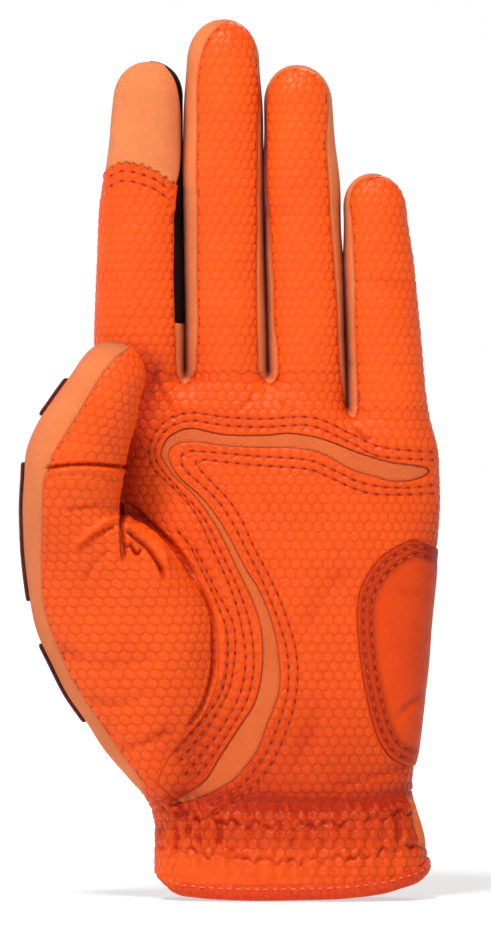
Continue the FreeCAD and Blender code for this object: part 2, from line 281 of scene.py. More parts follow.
def clip(data, tris, s):
    """The part of a mesh where s is positive. Every column of data is carried to the new vertices."""
    s = np.where(np.abs(s) < 1e-6, 1e-6, s)
    keep = s > 0
    code = keep[tris].sum(1)
    whole = tris[code == 3]
    new_edges, parts = [], [whole]
    offset = len(data)
    pending = []
    for lone_inside, wanted in ((True, 1), (False, 2)):
        t = tris[code == wanted]
        if not len(t):
            continue
        lone = np.argmax(keep[t] == lone_inside, 1)
        rows = np.arange(len(t))
        a, b, c = t[rows, lone], t[rows, (lone + 1) % 3], t[rows, (lone + 2) % 3]
        pending.append((lone_inside, a, b, c))
        new_edges += [np.stack([a, b], 1), np.stack([a, c], 1)]
    if not new_edges:
        return compact(data, whole)
    every = np.sort(np.concatenate(new_edges), 1)
    unique, index = np.unique(every, axis=0, return_inverse=True)
    index = index.reshape(-1)
    sa, sb = s[unique[:, 0]], s[unique[:, 1]]
    t = (sa / (sa - sb))[:, None]
    added = data[unique[:, 0]] * (1 - t) + data[unique[:, 1]] * t
    at = 0
    for lone_inside, a, b, c in pending:
        ab = offset + index[at:at + len(a)]
        ac = offset + index[at + len(a):at + 2 * len(a)]
        at += 2 * len(a)
        if lone_inside:
            parts.append(np.stack([a, ab, ac], 1))
        else:
            parts += [np.stack([ab, b, c], 1), np.stack([ab, c, ac], 1)]
    return compact(np.concatenate([data, added]), np.concatenate(parts))


def refine(data, tris):
    """Splits each triangle in four."""
    edges = np.sort(np.concatenate([tris[:, [0, 1]], tris[:, [1, 2]], tris[:, [2, 0]]]), 1)
    unique, index = np.unique(edges, axis=0, return_inverse=True)
    index = index.reshape(3, -1) + len(data)
    middle = (data[unique[:, 0]] + data[unique[:, 1]]) / 2
    a, b, c = tris.T
    ab, bc, ca = index
    tris = np.concatenate([np.stack(f, 1) for f in ((a, ab, ca), (ab, b, bc), (ca, bc, c), (ab, bc, ca))])
    return np.concatenate([data, middle]), tris


def rims(tris):
    """Edges used by one triangle only, in that triangle's direction."""
    edges = np.concatenate([tris[:, [0, 1]], tris[:, [1, 2]], tris[:, [2, 0]]])
    key = np.sort(edges, 1)
    _, index, count = np.unique(key, axis=0, return_index=True, return_counts=True)
    return edges[index[count == 1]]


def vertex_normals(p, tris):
    n = np.cross(p[tris[:, 1]] - p[tris[:, 0]], p[tris[:, 2]] - p[tris[:, 0]])
    out = np.zeros_like(p)
    for i in range(3):
        for axis in range(3):
            out[:, axis] += np.bincount(tris[:, i], n[:, axis], len(p))
    return out / np.maximum(np.linalg.norm(out, axis=1), 1e-12)[:, None]


# ---- outlines seen from the palm --------------------
def smooth_path(points, closed=False, spacing=0.8):
    """Catmull-Rom through (x, z) points, evenly divided."""
    p = np.array(points, float)
    if closed:
        p = np.concatenate([p[-1:], p, p[:2]])
    else:
        p = np.concatenate([2 * p[:1] - p[1:2], p, 2 * p[-1:] - p[-2:-1]])
    out = []
    for i in range(1, len(p) - 2):
        n = max(2, int(np.linalg.norm(p[i + 1] - p[i]) / spacing) + 1)
        t = np.linspace(0, 1, n, endpoint=False)[:, None]
        a, b, c, d = p[i - 1], p[i], p[i + 1], p[i + 2]
        square, cube = 2 * a - 5 * b + 4 * c - d, 3 * b - a - 3 * c + d
        out.append(0.5 * (2 * b + (c - a) * t + square * t ** 2 + cube * t ** 3))
    if not closed:
        out.append(p[-2:-1])
    return np.concatenate(out)


def to_path(path, x, z):
    """Distance from points to an open path, and the distance along it."""
    best = np.full(len(x), 1e9)
    along = np.zeros(len(x))
    walked = 0.0
    for (x0, z0), (x1, z1) in zip(path[:-1], path[1:]):
        dx, dz = x1 - x0, z1 - z0
        length = math.hypot(dx, dz)
        if length < 1e-9:
            continue
        t = np.clip(((x - x0) * dx + (z - z0) * dz) / length ** 2, 0, 1)
        d = np.hypot(x - x0 - t * dx, z - z0 - t * dz)
        closer = d < best
        best[closer] = d[closer]
        along[closer] = walked + t[closer] * length
        walked += length
    return best, along


def inside_outline(path, x, z):
    """Signed distance to a closed outline, positive inside."""
    loop = np.concatenate([path, path[:1]])
    d, _ = to_path(loop, x, z)
    crossings = np.zeros(len(x), bool)
    for (x0, z0), (x1, z1) in zip(loop[:-1], loop[1:]):
        hit = (z0 > z) != (z1 > z)
        with np.errstate(divide="ignore", invalid="ignore"):
            crossings ^= hit & (x < (x1 - x0) * (z - z0) / (z1 - z0) + x0)
    return np.where(crossings, d, -d)


# ---- the glove's seams, as (x, z) --------------------
SLOT = smooth_path([
    (32.4, 104.4), (31.4, 105.4), (27.9, 106.0), (22.3, 106.8), (17.6, 108.1), (13.2, 109.7), (9.6, 111.2),
    (4.9, 112.7), (-1.7, 113.7), (-8.6, 113.2), (-17.6, 113.4), (-25.0, 114.9), (-28.9, 114.2),
    (-31.8, 112.0), (-33.1, 108.5), (-32.3, 106.8), (-29.9, 103.1), (-25.0, 98.5), (-21.3, 93.6),
    (-18.1, 88.2), (-14.5, 80.6), (-11.3, 74.0), (-9.1, 67.9), (-8.3, 62.0), (-8.6, 54.9), (-10.3, 48.0),
    (-14.0, 42.1), (-18.6, 35.0), (-22.5, 28.9), (-28.9, 24.5), (-31.0, 23.4), (-29.4, 23.0),
    (-22.8, 25.0), (-15.9, 28.7), (-12.2, 32.6), (-9.1, 37.2), (-6.9, 43.1), (-4.4, 49.7), (-3.9, 55.6),
    (-4.7, 63.0), (-6.4, 69.3), (-9.1, 75.7), (-12.2, 80.6), (-16.7, 89.2), (-19.8, 94.1), (-23.5, 98.5),
    (-28.2, 102.7), (-30.6, 106.3), (-30.9, 109.0), (-28.9, 110.9), (-24.5, 111.4), (-17.6, 110.5),
    (-8.6, 110.0), (0.5, 109.8), (6.4, 108.5), (9.6, 106.8), (14.0, 104.4), (18.6, 103.1), (23.0, 101.9),
    (27.7, 102.0), (31.4, 103.2)], closed=True)
HEEL = smooth_path([
    (44, 86), (34.3, 85.5), (28.9, 87.5), (25.5, 86.5), (20.3, 83.1), (16.4, 77.4), (14.9, 72.5),
    (14.9, 65.7), (15.9, 55.9), (17.6, 46.8), (19.6, 39.9), (22.3, 35.3), (25.5, 33.1), (28.5, 32.4),
    (44, 33)], closed=True)
MOUND = smooth_path([
    (-80, 140), (-36, 140), (-34.5, 112), (-36.5, 99), (-36.8, 93.6), (-30.4, 87.5), (-26.7, 82.6),
    (-23.0, 75.7), (-20.3, 69.3), (-19.4, 64.9), (-19.1, 59.3), (-19.4, 53.9), (-20.8, 49.0),
    (-23.5, 43.6), (-26.7, 39.9), (-31.4, 34.1), (-33.6, 29.0), (-34.5, 24.0), (-80, 20)], closed=True)
THUMB_SEAM = spline(
    [22, 28.7, 36, 43.4, 50.7, 58.1, 65.4, 72.8, 82.6, 92.4, 99.7, 103.4, 107.1, 110.7, 114.4, 120.5, 125.4,
     129.0, 131.5, 133.9, 136],
    [-36.5, -37.6, -42.6, -47.5, -52.4, -56.4, -59.3, -61.2, -61.7, -61.2, -61.0, -60.5, -59.0, -57.3, -54.9,
     -51.2, -48.2, -45.8, -43.6, -40.6, -37.0])
ROWS = [smooth_path(p) for p in (
    [(33.4, 109.0), (20.8, 110.2), (14.9, 112.7), (5.9, 116.9), (0.5, 117.6), (-8.6, 117.1),
     (-17.6, 117.6), (-25.6, 118.6), (-31.3, 117.0), (-34.6, 113.4), (-35.9, 109), (-34.4, 104.6),
     (-29.6, 100.0), (-24.5, 94.0), (-20.1, 84.8), (-16.2, 76.4), (-13.7, 68.4), (-12.4, 60.3),
     (-12.9, 53.4), (-14.7, 48.0), (-18.3, 41.9), (-22.7, 36.0), (-27.1, 30.6)],
    [(33.6, 107.1), (20.3, 108.0), (14.5, 110.7), (5.4, 114.9), (0.5, 115.6), (-8.6, 115.1),
     (-17.6, 115.6), (-25.4, 116.7), (-30.4, 115.4), (-33.2, 112.5), (-34.5, 109), (-33.1, 105.2),
     (-28.2, 99.6), (-22.6, 93.2), (-18.2, 84.4), (-14.2, 75.9), (-11.6, 68.2), (-10.4, 60.3),
     (-10.8, 53.6), (-12.6, 47.6), (-16.4, 41.2), (-20.9, 34.4), (-25.0, 29.5)],
    [(33.2, 101.0), (27.7, 100.4), (20.8, 100.6), (14.9, 101.9), (9.6, 104.4), (2.7, 107.1), (-9.1, 108.0),
     (-21.5, 109.1), (-26.2, 109.2), (-28.3, 107.4), (-26.6, 104.2), (-22.1, 100.2), (-18.1, 95.9),
     (-14.7, 90.3), (-12.2, 85.3), (-9.3, 79.8), (-6.6, 73.8), (-4.2, 67.4), (-2.4, 61.2), (-1.9, 54.9),
     (-2.4, 49.5), (-4.4, 42.9), (-6.9, 36.8), (-10.3, 31.6), (-14.2, 27.2), (-21.1, 23.0)],
    [(33.6, 98.9), (20.8, 98.7), (14.5, 100.0), (8.1, 102.9), (2.7, 104.9), (-6.4, 105.6), (-15.4, 106.4),
     (-23.0, 107.2), (-24.4, 106.0), (-20.3, 101.4), (-16.2, 97.0), (-12.9, 91.6), (-10.6, 86.4),
     (-7.3, 80.1), (-4.4, 74.0), (-2.0, 67.6), (-0.3, 61.5), (0.3, 55.1), (-0.5, 47.8), (-2.6, 40.9),
     (-5.4, 34.5), (-8.9, 29.4), (-13.5, 25.1), (-20.4, 20.9)],
    [(-28.9, 89.9), (-25.5, 85.5), (-21.3, 76.2), (-18.6, 70.3), (-16.9, 64.4), (-16.9, 57.6),
     (-18.1, 51.4), (-21.1, 46.3), (-24.5, 41.9), (-29.4, 36.0)],
    [(-24.5, 85.5), (-19.4, 75.2), (-15.9, 68.8), (-14.9, 63.9), (-15.2, 57.6), (-16.4, 51.4),
     (-19.6, 45.3), (-23.0, 40.4), (-28.4, 34.1)],
    [(34.3, 84.3), (28.9, 86.2), (26.0, 85.3), (21.3, 82.1), (17.6, 76.7), (16.2, 72.0), (16.2, 65.7),
     (17.1, 56.1), (18.9, 47.0), (20.8, 40.7), (23.3, 36.3), (27.0, 34.0)],
    [(34.3, 82.4), (29.2, 84.2), (26.9, 83.4), (22.8, 80.6), (19.4, 75.9), (18.1, 71.6), (18.1, 65.7),
     (19.0, 56.3), (20.8, 47.4), (22.6, 41.4), (24.8, 37.7), (27.8, 36.0)],
)]
TIP_SEAM = smooth_path([(-52, 175.0), (-47.1, 177.0), (-43.7, 179.2), (-40.3, 179.4), (-34.7, 177.6),
                        (-31.3, 175.2), (-27, 172.8)])
TIP_ROWS = [TIP_SEAM[6:-6] - (0, 1.9), TIP_SEAM[6:-6] - (0, 4.3)]
# each finger's leather as seen from the palm, and the angles round the finger that it stays between
LEATHER = {name: smooth_path(points, closed=True) for name, points in {
    "index": [(-70, 100), (-29.0, 100), (-29.4, 128), (-29.9, 141), (-30.1, 152), (-30.0, 165),
              (-29.6, 173), (-28.6, 178), (-28.0, 184), (-28.2, 192), (-29.4, 199), (-31.5, 203),
              (-35.0, 206.5), (-50, 208), (-70, 208)],
    "middle": [(-24.3, 100), (-24.3, 129.6), (-23.9, 141), (-24.0, 152), (-24.2, 183), (-24.0, 198),
               (-23.2, 205), (-21.4, 210), (-18.4, 213), (-15.6, 213.9), (-12.6, 213.0), (-10.3, 209),
               (-9.4, 202), (-9.6, 183), (-9.8, 152), (-9.8, 141), (-9.3, 129), (-9.3, 100)],
    "ring": [(-4.2, 100), (-4.2, 129.6), (-5.2, 141), (-5.5, 152), (-6.6, 170), (-7.0, 183), (-7.0, 194.7),
             (-5.9, 199), (-3.6, 201.7), (0.3, 202.9), (4.3, 201.7), (6.6, 198.7), (7.5, 194.5),
             (7.3, 183), (8.0, 170), (9.3, 152), (9.9, 141), (10.5, 130), (11.0, 100)],
    "little": [(15.0, 95), (15.2, 120), (14.8, 130), (14.5, 141), (14.4, 152), (13.7, 165), (13.3, 170),
               (14.4, 173.8), (17.3, 175.9), (21.8, 176.4), (25.2, 174.2), (30, 172), (50, 165),
               (50, 95)]}.items()}
LEATHER_TURN = {"index": (-118, 92), "middle": (-90, 90), "ring": (-90, 90), "little": (-90, 86)}
WEBS = [smooth_path(points, closed=True) for points in (
    [(-29.9, 155), (-29.9, 141), (-29.6, 132), (-29.4, 129), (-28.7, 126.8), (-27.5, 125.4),
     (-26.2, 125.9), (-25.1, 127.6), (-24.4, 130), (-23.9, 136), (-23.9, 155)],
    [(-9.8, 155), (-9.8, 141), (-9.5, 132), (-9.2, 129), (-8.3, 127), (-6.6, 125.6), (-5.3, 126.2),
     (-4.4, 128), (-4.2, 130), (-4.7, 136), (-5.2, 155)],
    [(9.8, 155), (9.9, 141), (10.5, 129.6), (11.1, 124), (11.8, 120), (12.8, 117.9), (14.0, 117.2),
     (15.0, 118.4), (15.2, 121), (14.8, 129.6), (14.5, 155)])]
BACK_ANGLE = 118
YOKE = smooth_path([(-36, 108), (-20, 113), (0, 113), (23, 108), (27, 86), (22, 66), (2, 57), (-18, 61),
                    (-33, 80)], closed=True)

# creases: points, width, and depth, which is negative where the leather stands proud
CREASES = [
    ([(-61.0, 104.9), (-57, 105.7), (-50, 106.1), (-40.5, 105.4)], 0.45, 1.3),
    ([(-61.0, 103.7), (-57, 104.5), (-50, 104.9), (-41.5, 104.2)], 0.55, -0.55),
    ([(-61, 108.6), (-55, 109.4), (-47, 108.8)], 1.4, -0.35),
    ([(-60, 101.4), (-54, 102.4), (-45, 102.0)], 1.4, -0.3),
    ([(-42.6, 97), (-42.3, 92), (-42.0, 87), (-41.8, 82.3)], 0.7, 2.0),
    ([(-41.5, 90.5), (-39.0, 88.2), (-35.6, 85.4), (-33.4, 81.6), (-31.8, 78.0)], 0.65, 1.9),
    ([(-40.6, 96.5), (-37.5, 93.0), (-34.2, 90.0), (-31.0, 87.0), (-27.5, 82.6), (-24.5, 77.5)], 0.8, 1.2),
    ([(-39.6, 92.2), (-36.4, 89.2), (-33.4, 85.0), (-31.5, 80.5)], 1.4, -1.0),
    ([(-41.9, 84.6), (-40.2, 86.6), (-38.7, 84.2), (-37.0, 86.2)], 0.55, 1.2),
    ([(-42.8, 93.6), (-48.0, 91.2), (-53.4, 86.6)], 0.9, -0.7),
    ([(-43.0, 91.6), (-48.4, 89.2), (-53.8, 84.6)], 0.7, 0.7),
    ([(-45.5, 97.6), (-50.5, 96.0), (-57.0, 95.0)], 0.9, 0.4),
    ([(-44.5, 86.0), (-48.5, 82.5), (-52.0, 77.0)], 1.0, 0.4),
    ([(-34.3, 128), (-31.5, 122), (-29.2, 117.6)], 0.8, 0.45),
    ([(-32.8, 131.5), (-34.5, 126), (-36.0, 121)], 0.8, 0.4),
    ([(-10, 124), (-11.5, 121), (-14.5, 119)], 0.7, 0.4),
    ([(-4.5, 123.5), (-3.0, 120.5), (0.5, 118.5)], 0.7, 0.4),
    ([(14.2, 116), (16.2, 113), (20, 111.4)], 0.7, 0.45),
    ([(-58, 62), (-50, 58), (-41, 57.5), (-33, 60)], 1.6, 0.3),
    ([(-52, 50), (-44, 48), (-35, 50)], 1.6, 0.35),
    ([(-44, 37), (-37, 38.5), (-30, 42)], 1.3, 0.4),
    ([(-31, 26.2), (-18, 24.2), (0, 23.4), (17, 24.0), (30, 26.6)], 2.4, 0.55),
    ([(-31.5, 25.5), (-28.0, 22.0), (-26.0, 15)], 0.8, 0.7),
    ([(-26.5, 23.0), (-24.0, 19), (-23.4, 12.5)], 0.8, 0.6),
    ([(-30.5, 19), (-29.2, 15), (-29.6, 10)], 0.7, 0.6),
    ([(-20, 22.5), (-18.6, 17), (-19.2, 12.5)], 0.8, 0.5),
    ([(8, 27.5), (17, 29.5), (28, 33.0)], 1.5, 0.4),
    ([(22, 24), (25, 17), (24.5, 11)], 0.9, 0.5),
    ([(-18.3, 70), (-17.9, 63.5), (-18.0, 57.5), (-19.2, 52)], 1.2, -0.7),
    ([(-26.0, 83.5), (-22.4, 77.5), (-19.6, 71.5)], 1.2, -0.6),
    ([(-24.0, 77), (-21.0, 70.5), (-20.2, 64.0), (-20.4, 56), (-22.6, 48.5), (-26.5, 42)], 0.7, 0.9),
    ([(24.0, 44), (27.0, 47.5), (30.5, 50.5)], 1.0, 0.4),
    ([(23.5, 76), (27.5, 74.5), (32.0, 75)], 1.6, 0.2),
    ([(4, 95), (10, 92), (20, 91)], 2.4, 0.2),
    ([(2, 66), (6, 74), (12, 80)], 2.2, 0.18),
    ([(-1, 30), (4, 44), (7, 58)], 2.6, 0.2),
]
CREASES = [(smooth_path(points, spacing=1.6), width, depth) for points, width, depth in CREASES]
# height and depth of the faint creases across each finger
FINGER_CREASES = {
    "index": [(141, 0.12), (165, 0.16), (152, 0.08)],
    "middle": [(139, 0.1), (172, 0.16), (156, 0.08), (190, 0.08)],
    "ring": [(138, 0.1), (167, 0.16), (152, 0.08), (184, 0.08)],
    "little": [(131, 0.12), (150.5, 0.16), (162, 0.08)]}


# ---- relief --------------------
CELL = 2.62             # the raised six-sided cells' width
EMBOSS = 0.24
STITCH = 2.7            # from one needle hole to the next
FINE_STITCH = 1.5
EDGE_INSET = 0.5        # how far from a panel's edge its fine row runs
RIM = 0.95              # how far the panels' cut edges reach under the surface
SEAM_DIP = 0.26         # how far a stitched row sinks
PUCKER = 0.12           # and how much it rises between its stitches
EDGE_TURN = 0.26        # how far a panel's edge turns down
HEEL_RISE = 0.45        # the heel patch over the palm leather
HEEL_ROWS = 6           # the first of the rows that are sewn through it
SIDE_RISE = 0.38        # the finger sides over the hand surface
BACK_RISE = 0.15        # and the back of the glove
BLACK_STRIP_Z = 140.6   # the black strip's lower end


def pillow(u, v):
    """1 on a raised cell's middle, 0 in the grooves between cells, whose rows run along u."""
    row = CELL * math.sqrt(3) / 2
    best = None
    for du, dv in ((0, 0), (CELL / 2, row)):
        a = u - du - CELL * np.round((u - du) / CELL)
        b = v - dv - 2 * row * np.round((v - dv) / (2 * row))
        d = a * a + b * b
        if best is None:
            best, x, z = d, a, b
        else:
            nearer = d < best
            x, z = np.where(nearer, a, x), np.where(nearer, b, z)
    edge = np.maximum(np.abs(x), np.abs(x) / 2 + np.abs(z) * math.sqrt(3) / 2) / (CELL / 2)
    return 1 - np.clip((edge - 0.6) / 0.36, 0, 1) ** 1.4


def near_paths(paths, p, reach):
    """Distance to the nearest of several paths on the palm side, and along it, for points within reach."""
    d = np.full(len(p), 99.0)
    t = np.zeros(len(p))
    x, z = p[:, 0], p[:, 2]
    for path in paths:
        low, high = path.min(0) - reach, path.max(0) + reach
        pick = np.flatnonzero((x > low[0]) & (x < high[0]) & (z > low[1]) & (z < high[1]) & (p[:, 1] < 1))
        if len(pick):
            dist, along = to_path(path, x[pick], z[pick])
            closer = dist < d[pick]
            d[pick[closer]], t[pick[closer]] = dist[closer], along[closer]
    return d, t


def waves(p):
    """Slow unevenness of stretched leather."""
    x, y, z = p.T
    broad = 0.10 * np.sin(x / 5.1 + z / 9.3) * np.sin(z / 6.7 - y / 8.0)
    return broad + 0.07 * np.sin(x / 2.9 - z / 4.3 + 1.0) + 0.06 * np.sin(z / 3.1 + y / 3.7 + 2.0)


def folds(p, finger=None):
    """How far creases and gathers move the surface outwards."""
    d = waves(p)
    x, y, z = p.T
    for path, width, depth in CREASES:
        dist, along = near_paths([path], p, 5 * width)
        length = np.linalg.norm(np.diff(path, axis=0), axis=1).sum()
        taper = ramp(along, -1.0, 3.0) * ramp(length - along, -1.0, 3.0)
        dip = 1.25 * np.exp(-(dist / width) ** 2) - 0.25 * np.exp(-(dist / (2.3 * width)) ** 2)
        d -= depth * taper * dip
    if finger is None:
        gathered = ramp(z, 3, 7) * (1 - ramp(z, 21, 27))
        front = 1 - ramp(y, -8, 2)
        pleat = np.sin(x * 1.75 + 1.2 * np.sin(z / 4.0)) + 0.5 * np.sin(x * 0.83 + z * 0.35 + 1.3)
        uneven = 0.65 + 0.35 * np.sin(x * 0.47 + z) * np.sin(x * 0.21 + 2)
        d += 0.32 * gathered * front * pleat * uneven
        crumpled = np.exp(-((x + 25) / 7) ** 2) * ramp(z, 5, 9) * (1 - ramp(z, 22, 28)) * front
        d += 0.35 * crumpled * np.sin(x * 2.1 + 1.6 * np.sin(z * 0.55)) * np.sin(z * 0.7 + x * 0.5)
        for level in (9.8, 18.4):
            line = level + 0.55 * np.sin(x * 1.1 + level) + 0.35 * np.sin(x * 2.3 + level)
            line += 0.004 * (x + 2) ** 2
            ridge = 0.45 * np.exp(-((z - line - 0.9) / 0.9) ** 2)
            groove = 0.62 * np.exp(-((z - line + 0.5) / 0.65) ** 2)
            d += front * uneven * (ridge - groove)
    else:
        for height, depth in FINGER_CREASES[finger]:
            line = height + 0.7 * np.sin(x * 0.45 + height)
            d -= depth * np.exp(-((z - line) / 1.3) ** 2) * (1 - ramp(y, -5, 1))
    return d


# ---- data columns: position, base normal, u, v, distance to the panel's edge --------------------
def start_mesh(field, points, quads, rounds=4):
    points, normals = project(field, points, rounds)
    n = len(points)
    return np.column_stack([points, normals, np.zeros((n, 2)), np.full(n, FAR)]), triangles(quads)


def cut(mesh, s):
    """The parts inside and outside a boundary, each knowing how far it is from it."""
    data, tris = mesh
    out = []
    for side in (s, -s):
        kept = data.copy()
        kept[:, 8] = np.minimum(kept[:, 8], side)
        out.append(clip(kept, tris, side))
    return out


def trim(mesh, s):
    """The part inside a boundary that isn't an edge of the panel."""
    return clip(mesh[0], mesh[1], s)


def finer(mesh, field):
    data, tris = refine(*mesh)
    data[:, :3], data[:, 3:6] = project(field, data[:, :3], 1)
    return data, tris


def open_edge(points, normals, tris, first):
    """A part's rim vertices, the directions out of it there, and a wall's triangles along it.

    The wall's upper vertices are numbered from first, and its lower ones follow them.
    """
    edges = rims(tris)
    ends, local = np.unique(edges, return_inverse=True)
    local = local.reshape(-1, 2)
    side = np.cross(points[edges[:, 1]] - points[edges[:, 0]], normals[edges[:, 0]])
    outwards = np.zeros((len(ends), 3))
    np.add.at(outwards, local[:, 0], side)
    np.add.at(outwards, local[:, 1], side)
    outwards /= np.maximum(np.linalg.norm(outwards, axis=1), 1e-9)[:, None]
    a, b = first + local[:, 0], first + local[:, 1]
    c, d = b + len(ends), a + len(ends)
    return ends, outwards, np.concatenate([np.stack([b, a, d], 1), np.stack([b, d, c], 1)])


def shell(mesh, height, kind, finger=None, rows=(), depth=1.0, beside=None):
    """The finished panel: displaced outwards, with its cut edges turned down.

    Columns: position, normal, u, v, painted shading: painted shade in creases, cell grooves, stitched rows
    and at cut edges, and a painted highlight on raised folds. beside gives how much a neighbour shades the
    panel.
    """
    data, tris = mesh
    p, n, u, v, e = data[:, :3], data[:, 3:6], data[:, 6], data[:, 7], data[:, 8]
    stitch, along = near_paths(list(rows), p, 3.0)
    moved = folds(p, finger)
    d = height + moved
    # painted shade in the creases, and a painted highlight that lifts the colour back where the leather
    # stands proud
    painted_shading = 1 - 0.5 * np.clip(-moved - 0.15, 0, 1.0) + 0.12 * np.clip(moved - 0.1, 0, 0.6)
    if beside is not None:
        painted_shading -= beside(p)
    # painted shade: the lower palm darker between the wrist and the palm's middle, away from the thumb's
    # side, the palm a little darker right of x -20, and a painted shadow across the wrist hollow near z 24
    if finger is None and kind == "embossed":
        low = 0.26 * (1 - ramp(p[:, 2], 20, 60)) * ramp(p[:, 2], 8, 16)
        painted_shading -= low * ramp(p[:, 0], -40, -26) + 0.07 * ramp(p[:, 0], -36, -20)
        painted_shading -= 0.14 * np.exp(-((p[:, 2] - 24) / 3.5) ** 2)
    # painted shade along the hand's right edge, below the finger roots
    if finger is None and kind != "knit":
        painted_shading -= 0.24 * ramp(p[:, 0], 25, 35) * (1 - ramp(p[:, 2], 84, 100))
    if kind == "embossed":
        flat = ramp(stitch, 0.35, 0.95) * ramp(e, 0.1, 0.6)
        if finger is None:
            stretched = (1 - ramp(p[:, 2], 7, 13)) * (1 - ramp(p[:, 0], -6, 10)) * ramp(p[:, 0], -31, -26)
            flat *= 1 - 0.7 * stretched
        cell = pillow(u, v)
        d -= EMBOSS * (1 - cell) * flat
        # painted shade in the grooves between the raised cells
        painted_shading -= 0.16 * (1 - cell) ** 1.5 * flat
    d -= SEAM_DIP * np.exp(-(stitch / 0.6) ** 2)
    d += PUCKER * np.cos(2 * math.pi * (along - 0.6) / STITCH + math.pi) * np.exp(-(stitch / 1.3) ** 2)
    if finger == "index" and kind == "embossed":
        d += 0.3 * np.exp(-e / 0.5) * (p[:, 2] > 168)
    # painted shade in the sunk stitched rows, deeper and wider on the smooth heel leather
    seam_shade, reach = (0.44, 1.1) if kind == "smooth" else (0.14, 0.7)
    painted_shading -= seam_shade * np.exp(-(stitch / reach) ** 2)
    soft = 0.9 if kind in ("embossed", "smooth") else 0.6
    turned = np.clip(1 - e / soft, 0, 1)
    d -= EDGE_TURN * turned ** 2
    # painted shade where the cut edge turns down into the seam
    painted_shading -= 0.25 * np.clip(1 - e / 0.35, 0, 1)
    q = p + n * d[:, None]
    normals = vertex_normals(q, tris)
    outer = np.column_stack([q, normals, u, v, painted_shading])
    ends, outwards, wall = open_edge(q, n, tris, len(outer))
    top = outer[ends].copy()
    low = top.copy()
    low[:, :3] = p[ends] - n[ends] * depth
    top[:, 3:6] = low[:, 3:6] = outwards
    # painted shade on the rim walls, darker further down into the seam
    top[:, 8] *= 0.72
    low[:, 8] *= 0.6
    return np.concatenate([outer, top, low]), np.concatenate([tris, wall])


# ---- materials --------------------
class Shader:
    """Small helper round a node tree."""

    def __init__(self, name):
        self.material = bpy.data.materials.new(name)
        self.material.use_nodes = True
        self.tree = self.material.node_tree
        self.bsdf = self.tree.nodes["Principled BSDF"]

    def node(self, kind, **inputs):
        n = self.tree.nodes.new(kind)
        for key, value in inputs.items():
            self.put(n.inputs[key.replace("_", " ")], value)
        return n

    def put(self, socket, value):
        if isinstance(value, bpy.types.NodeSocket):
            self.tree.links.new(value, socket)
        else:
            socket.default_value = value

    def math(self, operation, a, b=0.0):
        n = self.tree.nodes.new("ShaderNodeMath")
        n.operation = operation
        self.put(n.inputs[0], a)
        self.put(n.inputs[1], b)
        return n.outputs[0]

    def mix(self, factor, a, b, blend="MIX"):
        n = self.tree.nodes.new("ShaderNodeMix")
        n.data_type, n.blend_type = "RGBA", blend
        self.put(n.inputs[0], factor)
        self.put(n.inputs[6], a)
        self.put(n.inputs[7], b)
        return n.outputs[2]

    def noise(self, vector, scale, detail=3.0, roughness=0.5):
        n = self.node("ShaderNodeTexNoise", Scale=scale, Detail=detail, Roughness=roughness)
        self.put(n.inputs["Vector"], vector)
        return n.outputs["Fac"]

    def ridged(self, source, low, high, to_low, to_high):
        n = self.node("ShaderNodeMapRange", Value=source)
        for i, value in enumerate((low, high, to_low, to_high)):
            n.inputs[i + 1].default_value = value
        return n.outputs[0]

    def bump(self, height, distance, strength=1.0, normal=None):
        n = self.node("ShaderNodeBump", Height=height, Distance=distance, Strength=strength)
        if normal is not None:
            self.put(n.inputs["Normal"], normal)
        return n.outputs[0]

    def finish(self, color, rough, normal, sheen=0.0, specular=0.5):
        self.put(self.bsdf.inputs["Base Color"], color)
        self.put(self.bsdf.inputs["Roughness"], rough)
        self.put(self.bsdf.inputs["Normal"], normal)
        self.bsdf.inputs["Sheen Weight"].default_value = sheen
        self.bsdf.inputs["Specular IOR Level"].default_value = specular
        return self.material


def linear(hex_color):
    """A shader colour from a hex one."""
    out = []
    for i in (0, 2, 4):
        c = int(hex_color[i:i + 2], 16) / 255
        out.append(c / 12.92 if c <= 0.04045 else ((c + 0.055) / 1.055) ** 2.4)
    return (*out, 1.0)


def shade(color, k):
    return (color[0] * k, color[1] * k, color[2] * k, 1.0)


def toned(s, light, dark, painted_shading):
    """The colour darkened towards a deeper one where the painted shading falls under 1."""
    return s.mix(s.ridged(painted_shading, 0.45, 1.0, 0.0, 1.0), dark, light)


def leather_material(name, color, deep, grain=1.0, rough=0.52):
    s = Shader(name)
    where = s.node("ShaderNodeTexCoord").outputs["Object"]
    painted_shading = s.node("ShaderNodeAttribute")
    painted_shading.attribute_name = "painted_shading"
    # painted shade: the colour runs towards deep where the shading attribute falls; the cloud below mixes the
    # same deep colour in as the leather's own uneven colour
    base = toned(s, linear(color), linear(deep), painted_shading.outputs["Fac"])
    cloud = s.noise(where, 70.0, 3.0)
    base = s.mix(s.ridged(cloud, 0.3, 0.72, 0.0, 0.22), base, linear(deep))
    fine = s.noise(where, 1500.0, 2.0, 0.6)
    base = s.mix(s.ridged(fine, 0.35, 0.75, 0.0, 0.10), base, shade(linear(color), 1.35))
    pores = s.node("ShaderNodeTexVoronoi", Scale=1900.0)
    s.put(pores.inputs["Vector"], where)
    height = s.math("ADD", s.math("MULTIPLY", pores.outputs["Distance"], 0.7), s.math("MULTIPLY", fine, 0.6))
    normal = s.bump(height, 0.00008 * grain, 0.55)
    normal = s.bump(s.noise(where, 420.0, 2.0), 0.00010 * grain, 0.5, normal)
    drawn = s.node("ShaderNodeMapping", Scale=(0.7, 1.0, 2.4), Rotation=(0, 0.35, 0))
    s.put(drawn.inputs["Vector"], where)
    normal = s.bump(s.noise(drawn.outputs["Vector"], 620.0, 3.0), 0.00012 * (grain - 1), 0.6, normal)
    roughness = s.ridged(s.noise(where, 260.0, 2.0), 0.2, 0.8, rough - 0.09, rough + 0.12)
    s.bsdf.inputs["Specular Tint"].default_value = (1.0, 0.68, 0.5, 1)
    return s.finish(base, roughness, normal, sheen=0.0, specular=0.3)


